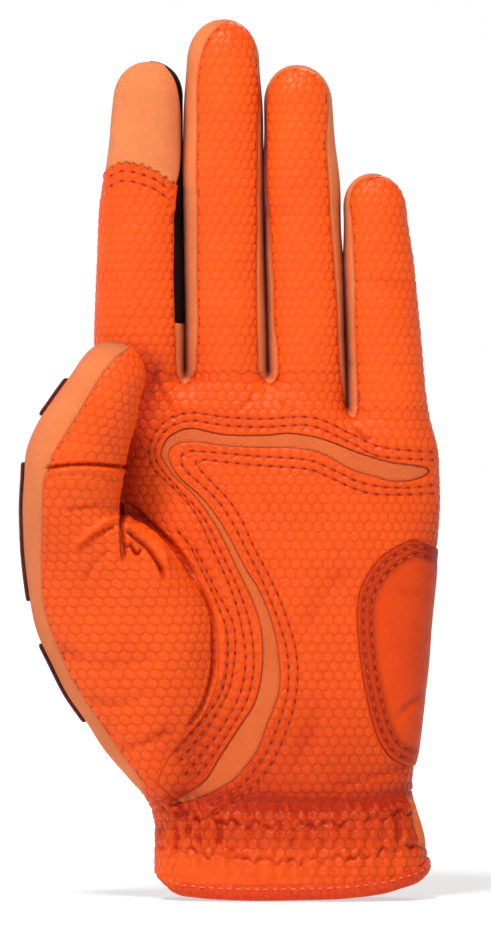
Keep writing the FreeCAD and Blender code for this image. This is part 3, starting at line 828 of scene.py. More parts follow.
def knit_material(name, color, deep, pitch=0.42, turn=0.0, rough=0.72, sheen=0.2, specular=0.25):
    """A fine ribbed stretch knit, its ribs across u of the panel's map, which is in millimetres."""
    s = Shader(name)
    where = s.node("ShaderNodeTexCoord").outputs["Object"]
    uv = s.node("ShaderNodeUVMap")
    uv.uv_map = "cloth"
    turned = s.node("ShaderNodeMapping", Rotation=(0, 0, turn))
    s.put(turned.inputs["Vector"], uv.outputs["UV"])
    split = s.node("ShaderNodeSeparateXYZ", Vector=turned.outputs["Vector"])
    u, v = split.outputs["X"], split.outputs["Y"]
    rib = s.math("ABSOLUTE", s.math("SINE", s.math("MULTIPLY", u, math.pi / pitch)))
    column = s.math("FLOOR", s.math("DIVIDE", u, pitch))
    phase = s.math("ADD", s.math("MULTIPLY", v, math.pi / (pitch * 0.8)), s.math("MULTIPLY", column, 1.571))
    weft = s.math("ABSOLUTE", s.math("SINE", phase))
    weave = s.math("ADD", s.math("MULTIPLY", rib, 0.65), s.math("MULTIPLY", weft, 0.35))
    painted_shading = s.node("ShaderNodeAttribute")
    painted_shading.attribute_name = "painted_shading"
    base = s.mix(s.ridged(weave, 0.1, 0.7, 0.55, 0.0), linear(color), linear(deep))
    base = s.mix(s.ridged(s.noise(where, 90.0, 3.0), 0.35, 0.75, 0.0, 0.25), base, shade(linear(deep), 1.1))
    # painted shade: the knit darkens towards a deep red-brown where the shading attribute falls
    base = toned(s, base, s.mix(1.0, base, linear("84280a"), "MULTIPLY"), painted_shading.outputs["Fac"])
    fuzz = s.noise(where, 2600.0, 2.0)
    normal = s.bump(s.math("ADD", weave, s.math("MULTIPLY", fuzz, 0.3)), 0.0002, 0.9)
    roughness = s.ridged(fuzz, 0.2, 0.8, rough - 0.08, rough + 0.1)
    return s.finish(base, roughness, normal, sheen=sheen, specular=specular)


def plain_material(name, color, deep, scale, depth, rough, sheen=0.0, stretch=(1, 1, 1)):
    """Tape, rubber, thread and pile: a cellular grain, stretched along a thread where it has one."""
    s = Shader(name)
    where = s.node("ShaderNodeTexCoord").outputs["Object"]
    mapped = s.node("ShaderNodeMapping", Scale=stretch)
    s.put(mapped.inputs["Vector"], where)
    cells = s.node("ShaderNodeTexVoronoi", Scale=scale)
    s.put(cells.inputs["Vector"], mapped.outputs["Vector"])
    grain = s.noise(mapped.outputs["Vector"], scale * 0.8, 3.0)
    base = s.mix(s.ridged(grain, 0.3, 0.7, 0.0, 1.0), linear(color), linear(deep))
    base = s.mix(s.ridged(cells.outputs["Distance"], 0.2, 0.8, 0.0, 0.35), base, shade(linear(deep), 0.7))
    normal = s.bump(s.math("ADD", cells.outputs["Distance"], grain), depth, 0.6)
    roughness = s.ridged(grain, 0.2, 0.8, rough - 0.08, rough + 0.08)
    return s.finish(base, roughness, normal, sheen=sheen, specular=0.2)


MATERIALS = {
    "leather_palm": leather_material("leather_palm", "ee5512", "a41c00", 1.0, 0.45),
    "leather_smooth": leather_material("leather_smooth", "dc4204", "8e1600", 2.2, 0.54),
    "knit": knit_material("knit", "f08248", "bc5828", sheen=0.04),
    "knit_tip": knit_material("knit_tip", "f0884e", "c06034", 0.4, 1.2, sheen=0.05),
    "knit_slot": knit_material("knit_slot", "e26a30", "b03c1a", 0.46, 0.75, sheen=0.0),
    "knit_back": knit_material("knit_back", "ee6a24", "b03c12", 0.5, sheen=0.05),
    "knit_black": knit_material("knit_black", "1e0c08", "080302", 0.5, sheen=0.0, specular=0.1),
    "liner": knit_material("liner", "d8622c", "8c3010", 0.6, sheen=0.0),
    "binding": plain_material("binding", "e4420e", "c63406", 1500.0, 0.00010, 0.6, 0.05, (1, 1, 0.6)),
    "patch_dark": plain_material("patch_dark", "6e1c10", "3a0c08", 900.0, 0.0001, 0.5),
    "badge": plain_material("badge", "3a1612", "200a08", 700.0, 0.00008, 0.42),
    "thread": plain_material("thread", "e2500f", "b83408", 2600.0, 0.00006, 0.6, 0.0),
    # a lighter copy of the thread: painted highlight on the cuff's stitches
    "highlit_thread": plain_material("highlit_thread", "f8884c", "e0662e", 2600.0, 0.00006, 0.6, 0.0),
    # painted shade of the needle holes
    "hole": plain_material("hole", "b03010", "7c1c08", 1400.0, 0.00004, 0.9),
    "loop": plain_material("loop", "d85a28", "8a2a0c", 1700.0, 0.0004, 0.9, 0.5),
    "hook": plain_material("hook", "401812", "1c0a08", 1100.0, 0.0005, 0.6),
}


# ---- making pieces --------------------
def emit(name, part, material, body, nodes=()):
    """A Blender mesh from a finished part, riding on a body, or left unattached when given a bend between
    two: (body, body, start, end).
    """
    data, tris = compact(*part)
    if not len(tris):
        return None
    mesh = bpy.data.meshes.new(name)
    n, f = len(data), len(tris)
    mesh.vertices.add(n)
    mesh.vertices.foreach_set("co", (data[:, :3] * MM).astype(np.float32).ravel())
    mesh.loops.add(3 * f)
    mesh.loops.foreach_set("vertex_index", tris.astype(np.int32).ravel())
    mesh.polygons.add(f)
    mesh.polygons.foreach_set("loop_start", np.arange(0, 3 * f, 3, dtype=np.int32))
    mesh.polygons.foreach_set("use_smooth", np.ones(f, bool))
    uv = mesh.uv_layers.new(name="cloth")
    uv.data.foreach_set("uv", data[tris.ravel()][:, 6:8].astype(np.float32).ravel())
    painted_shading = mesh.attributes.new("painted_shading", "FLOAT", "POINT")
    painted_shading.data.foreach_set("value", data[:, 8].astype(np.float32))
    mesh.update(calc_edges=True)
    mesh.validate(clean_customdata=False)
    normals = data[:, 3:6] / np.maximum(np.linalg.norm(data[:, 3:6], axis=1), 1e-9)[:, None]
    if len(mesh.vertices) == n:
        mesh.normals_split_custom_set_from_vertices(normals.tolist())
    mesh.materials.append(MATERIALS[material])
    obj = bpy.data.objects.new(name, mesh)
    bpy.context.scene.collection.objects.link(obj)
    if isinstance(body, str):
        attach(obj, body)
    else:
        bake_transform(obj)
    if nodes:
        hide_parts(*nodes)
    return obj


def join(parts):
    """Several finished parts as one."""
    datas, tris, at = [], [], 0
    for data, t in parts:
        datas.append(data)
        tris.append(t + at)
        at += len(data)
    return np.concatenate(datas), np.concatenate(tris)


def palm_map(data, column=PALM):
    """Millimetres across and up, unrolled round the sides. A finger's leather carries the same map on."""
    p = data[:, :3]
    dx, _, _, b = column.offsets(p)
    wrap = np.maximum(p[:, 1] + 0.93 * b, 0)
    data[:, 6] = p[:, 0] + np.sign(dx) * 0.8 * wrap
    data[:, 7] = p[:, 2]


def thumb_map(data):
    p = data[:, :3]
    dx, dy, a, b = THUMB.offsets(p)
    lean = ramp(p[:, 2], 100, 135) * 0.30
    data[:, 6] = np.arctan2(dx / a, -dy / b) * (0.5 * a + 0.5 * b)
    data[:, 7] = p[:, 2] * 1.03 + lean * dx


def finger_map(data, column, middle):
    """u round the finger from an angle, v along it and over its tip."""
    p = data[:, :3]
    dx, dy, a, b = column.offsets(p)
    up = np.clip((p[:, 2] - column.cap_z) / column.cap_h, 0, 1)
    turn = (np.degrees(np.arctan2(dx / a, -dy / b)) - middle + 180) % 360 - 180
    data[:, 6] = np.radians(turn) * (a + b) / 2 * np.sqrt(np.maximum(1 - 0.8 * up ** 2, 0.04))
    data[:, 7] = np.minimum(p[:, 2], column.cap_z) + column.cap_h * np.arcsin(np.clip(up, 0, 0.999))


HEM = spline([-34, -33, -29.9, -24.3, -17.2, 1.7, 13.2, 25, 31.1, 33.3],
             [5.4, 4.7, 2.0, 0.9, 0.45, 0.45, 0.9, 2.9, 5.6, 8.4])


def hem(p):
    """The height of the glove's lower edge: lowest in front, higher at the sides and the back."""
    return HEM(p[:, 0]) + 3.0 * ramp(p[:, 1], 0, 12)


def nearest_finger(p):
    return np.argmin(np.stack([FINGERS[f](p) for f in ORDER]), 0)


def leather_field(p, name):
    """Positive on a finger's leather."""
    turn = FINGERS[name].angle(p)
    low, high = LEATHER_TURN[name]
    r = FINGERS[name].b(p[:, 2])
    round_it = np.minimum(np.radians(turn - low), np.radians(high - turn)) * r
    return np.minimum(inside_outline(LEATHER[name], p[:, 0], p[:, 2]), round_it)


def back_field(p, name):
    """Positive on a finger's back panel."""
    turn = FINGERS[name].angle(p)
    low, high = (BACK_ANGLE, 88) if name == "little" else (BACK_ANGLE, BACK_ANGLE)
    return np.radians(np.maximum(-turn - low, turn - high)) * FINGERS[name].b(p[:, 2])


# ---- the palm, thumb and finger roots --------------------
NET_STEP = 0.55
ROOT_LAP = 1.6          # how far the surface is made past the finger roots, before its panels are cut to them
VENT = {"middle": -3.0, "half": 1.2, "top": 50}
GLIMPSE = smooth_path([(28.6, 26.5), (28.3, 21), (29.2, 15.5), (31.0, 12.0), (45, 10), (45, 27)], closed=True)
THUMB_BEND = ("palm", "thumb_tip", (-54, -24, 96.5), (-54, -24, 113.5))
PATCH_SPANS = ((43.5, 62.5), (72.8, 106.5), (117.6, 126.5))
PATCH_TURN = (205, 274)
WEB_EDGES = (-52, -17, 2.7, 40)


def part_of_thumb(p):
    return (p[:, 0] < -36) & (p[:, 1] < -13)


def root_heights(p):
    return np.array([ROOT_Z[f] for f in ORDER])[nearest_finger(p)]


def hand_surface():
    """The palm, the thumb and the finger roots, trimmed at the roots and the hem, and open at the vent."""
    whole = start_mesh(hand, *surface_net(hand, (-70, -39, -3), (38, 19, 138.5), NET_STEP))
    p = whole[0][:, :3]
    whole = trim(whole, np.where(part_of_thumb(p), 200.0, root_heights(p) + ROOT_LAP) - p[:, 2])
    p = whole[0][:, :3]
    whole = trim(whole, p[:, 2] - hem(p) - 0.6)
    p = whole[0][:, :3]
    beyond = np.abs(p[:, 0] - VENT["middle"]) - VENT["half"]
    return cut(whole, np.maximum(beyond, np.maximum(p[:, 2] - VENT["top"], -p[:, 1])))[0]


def hand_over_thumb(p):
    fingers = np.minimum.reduce([FINGERS[f](p) for f in ORDER])
    return np.minimum(PALM(p), fingers) - THUMB(p)


def thumb_region(p):
    """Positive on the thumb and its mound."""
    loose = 40 * (1 - ramp(p[:, 2], 86, 95)) * (1 - ramp(p[:, 1], -7, 1))
    return np.minimum(inside_outline(MOUND, p[:, 0], p[:, 2]), hand_over_thumb(p) + loose)


def thumb_leather(p):
    """Positive on the thumb's leather."""
    dx, dy, a, b = THUMB.offsets(p)
    turn = np.degrees(np.arctan2(dx / a, -dy / b))
    seam = np.where(p[:, 2] > 22, THUMB_SEAM(p[:, 2]), -36.5)
    s = p[:, 0] - seam - 3 * np.maximum(dy, 0) * (1 - ramp(dx, -1, 1))
    return np.minimum(s, np.where(turn > 0, np.radians(128 - turn) * b, 9))


def webs(p):
    """Positive on the stretch strips between the finger roots."""
    return np.maximum.reduce([inside_outline(path, p[:, 0], p[:, 2]) for path in WEBS])


def front_field(p):
    """Positive on the palm side: the leather wraps a little past the middle of the hand's edge."""
    s = 4.5 - p[:, 1] - 1.0 * ramp(p[:, 2], 100, 128)
    turn = (p[:, 1] < 6) * inside_outline(GLIMPSE, p[:, 0], p[:, 2]) + (p[:, 1] >= 6) * -9.0
    return np.minimum(s, -turn)


def at_roots(part):
    p = part[0][:, :3]
    return clip(part[0], part[1], np.where(part_of_thumb(p), 50.0, root_heights(p) - p[:, 2]))


def beside_thumb(p):
    """The shading of the leather close by the thumb's inner side."""
    x, z = p[:, 0], p[:, 2]
    dome = np.sqrt(np.clip(1 - (np.clip(z - THUMB.cap_z, 0, None) / THUMB.cap_h) ** 2, 0, 1))
    reach = np.clip(x - THUMB.cx(z) - THUMB.a(z) * dome, 0, 40)
    along = ramp(z, 87, 94) * (1 - ramp(z, 127, 141)) * ramp(x, -49, -44)
    return 0.5 * np.exp(-(reach / 5.0) ** 2) * along * (p[:, 1] < 2)


def between_fingers(p):
    """The shading at the bottom of the gap between two fingers."""
    second = np.sort(np.stack([FINGERS[f](p) for f in ORDER]), 0)[1]
    height = p[:, 2] - np.where(p[:, 0] < 5, ROOT_Z["ring"], ROOT_Z["little"])
    return 0.6 * np.exp(-(np.clip(second, 0, 40) / 1.6) ** 2) * ramp(height, -3.0, 0.5)


def make_palm(leather, strip, heel):
    made = shell(leather, SKIN, "embossed", rows=ROWS, depth=RIM, beside=beside_thumb)
    emit("palm_leather", at_roots(made), "leather_palm", "palm", ["palm_panel"])
    emit("flex_strip_knit", shell(strip, 0.05, "knit"), "knit_slot", "palm", ["flex_strip"])
    emit("heel_leather", shell(heel, SKIN + HEEL_RISE, "smooth", rows=ROWS[HEEL_ROWS:]), "leather_smooth",
         "palm", ["heel_patch"])


def make_thumb(leather, side):
    made = shell(leather, SKIN + 0.05, "embossed", rows=ROWS)
    nodes = ["thumb_panel", "thumb_front_tip"]
    emit("thumb_leather", made, "leather_palm", THUMB_BEND, nodes)
    emit("thumb_knit", shell(side, 0.1, "knit"), "knit", THUMB_BEND,
         ["thumb_gusset", "thumb_back_tip"])
    data, tris = side
    dx, dy, a, b = THUMB.offsets(data[:, :3])
    turn = np.radians(np.degrees(np.arctan2(dx / a, -dy / b)) % 360)
    z = data[:, 2]
    across = np.minimum(turn - math.radians(PATCH_TURN[0]), math.radians(PATCH_TURN[1]) - turn) * a
    patches = []
    for low, high in PATCH_SPANS:
        s = np.minimum(np.minimum(z - low, high - z), across)
        patch = cut((np.column_stack([data[:, :8], np.full(len(s), FAR)]), tris), s)[0]
        patches.append(shell(patch, 1.05, "smooth", depth=-0.2))
    emit("thumb_patches", join(patches), "patch_dark", THUMB_BEND,
         ["thumb_back_patch", "thumb_tip_patch"])


def make_webs(mesh):
    data, tris = at_roots(shell(mesh, SIDE_RISE, "knit", beside=between_fingers))
    for left, right, low, high in zip(ORDER[:-1], ORDER[1:], WEB_EDGES[:-1], WEB_EDGES[1:]):
        piece = clip(data, tris, data[:, 0] - low)
        piece = clip(piece[0], piece[1], high - piece[0][:, 0])
        emit(f"web_{left}_{right}", piece, "knit", "palm", [f"fourchette_{left}_{right}"])


def lining(p):
    """The inner surface, under the panels' turned edges."""
    return hand(p) + 1.3


def make_lining():
    inner = start_mesh(lining, *surface_net(lining, (-70, -39, -3), (38, 19, 102), 1.5))
    inner = trim(inner, inner[0][:, 2] - hem(inner[0][:, :3]) - 1.6)
    inner = trim(inner, 98.0 - inner[0][:, 2])
    palm_map(inner[0])
    inner[0][:, 3:6] *= -1
    inner[0][:, 8] = 0.9
    emit("lining", (inner[0], inner[1][:, ::-1]), "liner", "palm")


def make_hand():
    """Cuts the hand's surface along its seams and makes every panel of it."""
    whole = hand_surface()
    thumb, rest = cut(whole, thumb_region(whole[0][:, :3]))
    thumb_front, thumb_side = cut(thumb, thumb_leather(thumb[0][:, :3]))
    web, rest = cut(rest, webs(rest[0][:, :3]))
    front, back = cut(rest, front_field(rest[0][:, :3]))
    strip, front = cut(front, inside_outline(SLOT, front[0][:, 0], front[0][:, 2]))
    heel, palm = cut(front, inside_outline(HEEL, front[0][:, 0], front[0][:, 2]))
    palm, thumb_front = finer(palm, hand), finer(thumb_front, hand)
    for mesh in (palm, strip, heel, back, web):
        palm_map(mesh[0])
    for mesh in (thumb_front, thumb_side):
        thumb_map(mesh[0])
    make_palm(palm, strip, heel)
    make_thumb(thumb_front, thumb_side)
    made = at_roots(shell(back, BACK_RISE, "knit"))
    emit("back_knit", made, "knit_back", "palm", ["back_panel"])
    make_webs(web)
    make_lining()


# ---- fingers --------------------
def finger_tube(name, around=168, rise=0.36):
    """A closed tube with a domed tip, from just under the finger's root."""
    column = FINGERS[name]

    def field(p):
        return column(p) + SKIN
    heights = np.arange(ROOT_Z[name] - ROOT_LAP, column.cap_z, rise)
    dome = np.arange(0, 89, math.degrees(rise / column.cap_h))
    z = np.concatenate([heights, column.cap_z + column.cap_h * np.sin(np.radians(dome))])
    k = np.concatenate([np.ones(len(heights)), np.cos(np.radians(dome))])
    turn = np.radians(np.arange(around) * 360 / around)
    rows = len(z)
    zz = np.repeat(z, around)
    kk = np.repeat(k, around) * 0.96
    tt = np.tile(turn, rows)
    points = np.column_stack([column.cx(zz) + column.a(zz) * kk * np.sin(tt),
                              column.cy(zz) - column.b(zz) * kk * np.cos(tt), zz])
    tip = np.array([[column.cx(z[-1:])[0], 0, column.cap_z + column.cap_h]])
    i = np.arange(rows - 1)[:, None] * around
    j = np.arange(around)[None, :]
    right = (j + 1) % around
    quads = np.stack([i + j, i + right, i + around + right, i + around + j], -1).reshape(-1, 4)
    last = (rows - 1) * around
    j = np.arange(around)
    fan = np.stack([last + j, last + (j + 1) % around, np.full(around, rows * around)], 1)
    points, normals = project(field, np.concatenate([points, tip]), 4)
    n = len(points)
    data = np.column_stack([points, normals, np.zeros((n, 2)), np.full(n, FAR)])
    return data, np.concatenate([triangles(quads), fan])


def run_of(part, name, upper):
    """The lower or upper length of a finger's panel."""
    z = part[0][:, 2]
    if upper:
        return clip(part[0], part[1], z - SPLIT_Z[name])
    part = clip(part[0], part[1], z - ROOT_Z[name])
    return clip(part[0], part[1], SPLIT_Z[name] - part[0][:, 2])


def finger_bend(name, upper):
    """The two bodies a length of finger bends between, and where the bend starts and ends."""
    hinge = HINGES[f"{name}_middle_joint" if upper else f"{name}_knuckle"]
    reach = np.array([0, 0, BEND_REACH[name][1 if upper else 0]])
    ends = (f"{name}_lower", f"{name}_upper") if upper else ("palm", f"{name}_lower")
    return (*ends, hinge - reach, hinge + reach)


def beside_fingers(name):
    """The shading of a finger's side where it faces its neighbours closely."""
    k = ORDER.index(name)
    others = [FINGERS[g] for g in ORDER[max(k - 1, 0):k] + ORDER[k + 1:k + 2]]

    def near(p):
        return 0.6 * np.exp(-(np.clip(np.minimum.reduce([f(p) for f in others]), 0, 40) / 1.6) ** 2)
    return near


def frayed_seam(x):
    """The uneven edge of the index finger's leather under the fingertip panel."""
    waver = 0.34 * np.sin(x * 3.3) + 0.26 * np.sin(x * 7.7 + 1) + 0.14 * np.sin(x * 17)
    return np.interp(x, TIP_SEAM[:, 0], TIP_SEAM[:, 1]) + waver


def finger_panels(name):
    """Name, mesh, middle angle, material, slot, height, kind and CAD nodes of each of a finger's panels."""
    tube = finger_tube(name)
    backs, rest = cut(tube, back_field(tube[0][:, :3], name))
    leather, sides = cut(rest, leather_field(rest[0][:, :3], name))
    panels = [("back", backs, 180, "knit_back", "stretch_fabric", BACK_RISE, "knit", ["back"])]
    if name == "index":
        tips, leather = cut(leather, leather[0][:, 2] - frayed_seam(leather[0][:, 0]))
        panels.append(("tip", tips, 0, "knit_tip", "stretch_fabric", 0.22, "knit", ["tip"]))
        strip, lower = cut(sides, sides[0][:, 2] - BLACK_STRIP_Z)
        panels.append(("side", strip, 75, "knit_black", "black_strip", 0.4, "knit", ["outer_side"]))
        panels.append(("web", lower, 75, "knit", "stretch_fabric", SIDE_RISE, "knit", []))
    else:
        both = ["thumb_side", "outer_side"]
        panels.append(("sides", sides, 0, "knit", "stretch_fabric", SIDE_RISE, "knit", both))
    panels.append(("leather", leather, 0, "leather_palm", "embossed_leather", SKIN, "embossed", ["front"]))
    return panels


def make_finger(name):
    for panel, mesh, middle, material, slot, height, kind, stands_for in finger_panels(name):
        if panel == "leather":
            palm_map(mesh[0], FINGERS[name])
        else:
            finger_map(mesh[0], FINGERS[name], middle)
        if panel in ("side", "web", "sides"):
            beside = beside_fingers(name)
        else:
            beside = beside_thumb if name == "index" else None
        rows = TIP_ROWS if name == "index" else ()
        made = shell(mesh, height, kind, finger=name, rows=rows, beside=beside)
        for run in ("lower", "upper"):
            nodes = [f"{name}_{s}_{run}" for s in stands_for if f"{name}_{s}_{run}" in frame["nodes"]]
            if panel == "tip":
                nodes = ["index_tip_panel"] if run == "upper" else []
            upper = run == "upper"
            length, bend = run_of(made, name, upper), finger_bend(name, upper)
            emit(f"{name}_{panel}_{run}_skin", length, material, bend, nodes)


# ---- slabs laid on the surface: the closing tab, tapes and patches --------------------
def depth_at(x, z, back=True):
    """Where the surface is, straight behind or in front of points seen from the palm."""
    low, high = np.zeros_like(x), np.full_like(x, 26.0 if back else -44.0)
    for _ in range(18):
        middle = (low + high) / 2
        inside = hand(np.column_stack([x, middle, z])) < 0
        low, high = np.where(inside, middle, low), np.where(inside, high, middle)
    return (low + high) / 2


def slab(outline, low, high, back=True, spacing=0.55, soft=0.45, relief=None):
    """A closed piece that follows the surface between two heights, inside an (x, z) outline."""
    a, b = outline.min(0) - spacing, outline.max(0) + spacing
    xs, zs = np.arange(a[0], b[0] + spacing, spacing), np.arange(a[1], b[1] + spacing, spacing)
    x, z = [g.ravel() for g in np.meshgrid(xs, zs, indexing="ij")]
    p = np.column_stack([x, depth_at(x, z, back), z])
    i, j = [g.ravel() for g in np.meshgrid(np.arange(len(xs) - 1), np.arange(len(zs) - 1), indexing="ij")]
    k = i * len(zs) + j
    quads = np.column_stack([k, k + 1, k + len(zs) + 1, k + len(zs)])
    if not back:
        quads = quads[:, ::-1]
    n = gradient(hand, p)
    n /= np.maximum(np.linalg.norm(n, axis=1), 1e-9)[:, None]
    data = np.column_stack([p, n, x, z, inside_outline(outline, x, z)])
    data, tris = clip(data, triangles(quads), data[:, 8])
    e = np.clip(data[:, 8], 0, None)
    fall = soft - np.sqrt(np.maximum(soft ** 2 - (soft - np.minimum(e, soft)) ** 2, 0))
    rise = high - np.minimum(fall, (high - low) * 0.6)
    if relief is not None:
        rise = rise + relief(data)
    top, bottom = data.copy(), data.copy()
    top[:, :3] += data[:, 3:6] * rise[:, None]
    bottom[:, :3] += data[:, 3:6] * low
    top[:, 3:6] = vertex_normals(top[:, :3], tris)
    bottom[:, 3:6] *= -1
    # painted shade where the top rounds down at its edge, and on the underside
    top[:, 8] = 1 - 0.3 * np.clip(1 - e / 0.6, 0, 1)
    bottom[:, 8] = 0.8
    count = len(data)
    ends, outwards, wall = open_edge(top[:, :3], data[:, 3:6], tris, 2 * count)
    upper, lower = top[ends].copy(), bottom[ends].copy()
    upper[:, 3:6] = lower[:, 3:6] = outwards
    return np.concatenate([top, bottom, upper, lower]), np.concatenate([tris, tris[:, ::-1] + count, wall])


def rounded(x0, x1, z0, z1, left, right):
    """A rectangle with its two ends rounded, as an (x, z) outline."""
    out = []
    for cx, cz, r, start in ((x1 - right, z0 + right, right, -90), (x1 - right, z1 - right, right, 0),
                             (x0 + left, z1 - left, left, 90), (x0 + left, z0 + left, left, 180)):
        for t in np.radians(np.linspace(start, start + 90, 14)):
            out.append((cx + r * math.cos(t), cz + r * math.sin(t)))
    return np.array(out)


# ---- the cuff's binding --------------------
def hem_line(count=720, rise=0.0):
    """Points and outward directions along the hem, from one side of the vent round the front to the other."""
    gap = 0.028
    turn = np.linspace(gap, 2 * np.pi - gap, count)
    p = np.column_stack([-3.0 - 33 * np.sin(turn), 14 * np.cos(turn), np.full(count, 5.0)])
    p[:, 2] = hem(p) + rise
    for _ in range(5):
        p, _ = project(lambda q: PALM(q) + SKIN, p, 2)
        p[:, 2] = hem(p) + rise
    g = gradient(PALM, p)
    g[:, 2] = 0
    return p, g / np.linalg.norm(g, axis=1)[:, None]


def binding_tape():
    p, out = hem_line()
    walked = np.concatenate([[0], np.cumsum(np.linalg.norm(np.diff(p, axis=0), axis=1))])
    section = [(-1.15, 3.1), (-1.35, 2.6), (-1.45, 1.4), (-1.25, 0.45), (-0.75, -0.2), (-0.1, -0.42),
               (0.55, -0.2), (1.0, 0.4), (1.18, 1.1), (1.2, 1.8), (1.12, 2.35), (1.0, 2.75), (0.85, 3.15),
               (0.6, 3.32), (0.3, 3.25), (0.25, 2.6)]
    rings = []
    for k, (across, up) in enumerate(section):
        pucker = 0.10 * np.sin(walked * 1.9 + k * 0.4) * np.sin(walked * 0.31)
        pucker += 0.06 * np.sin(walked * 3.7 + k)
        rows = p + out * (across + pucker * (across > 0))[:, None]
        rows[:, 2] += up + 0.12 * np.sin(walked * 0.55) * (up > 2)
        rings.append(rows)
    grid = np.stack(rings, 1)
    n, m = grid.shape[:2]
    points = grid.reshape(-1, 3)
    i, j = [g.ravel() for g in np.meshgrid(np.arange(n - 1), np.arange(m), indexing="ij")]
    quads = np.column_stack([i * m + j, (i + 1) * m + j, (i + 1) * m + (j + 1) % m, i * m + (j + 1) % m])
    tris = triangles(quads)
    for row, flip in ((0, False), ((n - 1) * m, True)):
        cap = np.array([(row, row + k + 1, row + k) for k in range(1, m - 1)])
        tris = np.concatenate([tris, cap[:, ::-1] if flip else cap])
    inwards = (vertex_normals(points, tris) * np.repeat(out, m, 0)).sum(1)[8::m].mean() < 0
    if inwards:
        tris = tris[:, ::-1]
    # painted shade in the fold where the tape's top edge turns down against the glove
    painted_shading = np.tile(np.where(np.arange(m) == 14, 0.6, 1.0), n)
    data = np.column_stack([points, vertex_normals(points, tris), np.repeat(walked, m),
                            np.tile(np.arange(m) * 0.6, n), painted_shading])
    return data, tris


# ---- thread --------------------
def capsules(a, b, up, radius, lift=0.6, around=7):
    """A bulging thread from each a to each b, sunk at both ends."""
    t = np.linspace(0, 1, 7)
    shape = np.sqrt(np.clip(1 - (2 * t - 1) ** 4, 0.02, 1))
    along = b - a
    length = np.linalg.norm(along, axis=1)[:, None]
    along = along / length
    side = np.cross(along, up)
    side /= np.linalg.norm(side, axis=1)[:, None]
    up = np.cross(side, along)
    turn = np.arange(around) * 2 * np.pi / around
    points, normals = [], []
    for k in range(len(t)):
        centre = a + along * length * t[k] + up * (lift * radius * (shape[k] - 1))
        for w in turn:
            d = side * math.cos(w) + up * math.sin(w)
            points.append(centre + d * radius * shape[k])
            normals.append(d)
    count, each = len(a), len(t) * around
    points = np.stack(points, 1).reshape(-1, 3)
    normals = np.stack(normals, 1).reshape(-1, 3)
    quads = []
    for k in range(len(t) - 1):
        for w in range(around):
            v = (w + 1) % around
            quads.append((k * around + w, (k + 1) * around + w, (k + 1) * around + v, k * around + v))
    quads = (np.array(quads)[None] + each * np.arange(count)[:, None, None]).reshape(-1, 4)
    data = np.column_stack([points, normals, np.zeros((len(points), 2)), np.ones(len(points))])
    return data, triangles(quads)


def needle_holes(p, n, length=0.62, width=0.3):
    """Dark slits where the thread goes in, lying along the row: painted shade of the needle holes."""
    around = 10
    side = np.gradient(p, axis=0)
    side -= n * (side * n).sum(1)[:, None]
    side /= np.linalg.norm(side, axis=1)[:, None]
    up = np.cross(n, side)
    points, tris = [p + n * 0.03], []
    for w in np.arange(around) * 2 * np.pi / around:
        points.append(p + length * side * math.cos(w) + width * up * math.sin(w) + n * 0.02)
    for w in range(around):
        tris.append((0, 1 + w, 1 + (w + 1) % around))
    points = np.stack(points, 1).reshape(-1, 3)
    tris = (np.array(tris)[None] + (around + 1) * np.arange(len(p))[:, None, None]).reshape(-1, 3)
    data = np.column_stack([points, np.repeat(n, around + 1, 0), np.zeros((len(points), 2)),
                            np.ones(len(points))])
    return data, tris


def sewn(path, height, finger=None, start=0.6, pitch=STITCH, sink=0.16):
    """Stitch ends on the finished surface along an (x, z) path: points and normals."""
    steps = np.linalg.norm(np.diff(path, axis=0), axis=1)
    walked = np.concatenate([[0], np.cumsum(steps)])
    at = np.arange(start, walked[-1], pitch)
    x, z = np.interp(at, walked, path[:, 0]), np.interp(at, walked, path[:, 1])
    p = np.column_stack([x, depth_at(x, z, back=False), z])
    p, n = project(hand, p, 1)
    return p + n * (height + folds(p, finger) - sink)[:, None], n


def stitch_row(p, n, pitch=STITCH, thick=0.2, slit=(0.62, 0.22)):
    a, b, up = p[:-1], p[1:], (n[:-1] + n[1:]) / 2
    near = np.linalg.norm(b - a, axis=1) < pitch * 1.8
    a, b, up = a[near], b[near], up[near]
    return capsules(a + (b - a) * 0.2, a + (b - a) * 0.8, up, thick), needle_holes(p, n, *slit)


def fine_row(path, finger=None):
    """The small stitches that close a panel's edge."""
    return stitch_row(*sewn(path, SKIN, finger, 0.3, FINE_STITCH, 0.14), FINE_STITCH, 0.1, (0.42, 0.17))


def sew(name, rows, body):
    threads, holes = zip(*rows)
    emit(name + "_thread", join(threads), "thread", body)
    emit(name + "_holes", join(holes), "hole", body)


def sew_palm():
    heights = [SKIN] * HEEL_ROWS + [SKIN + HEEL_RISE] * (len(ROWS) - HEEL_ROWS)
    sew("palm_seams", [stitch_row(*sewn(path, height)) for path, height in zip(ROWS, heights)], "palm")
    tip_rows = [stitch_row(*sewn(path, SKIN, "index")) for path in TIP_ROWS]
    sew("index_tip", tip_rows, finger_bend("index", True))


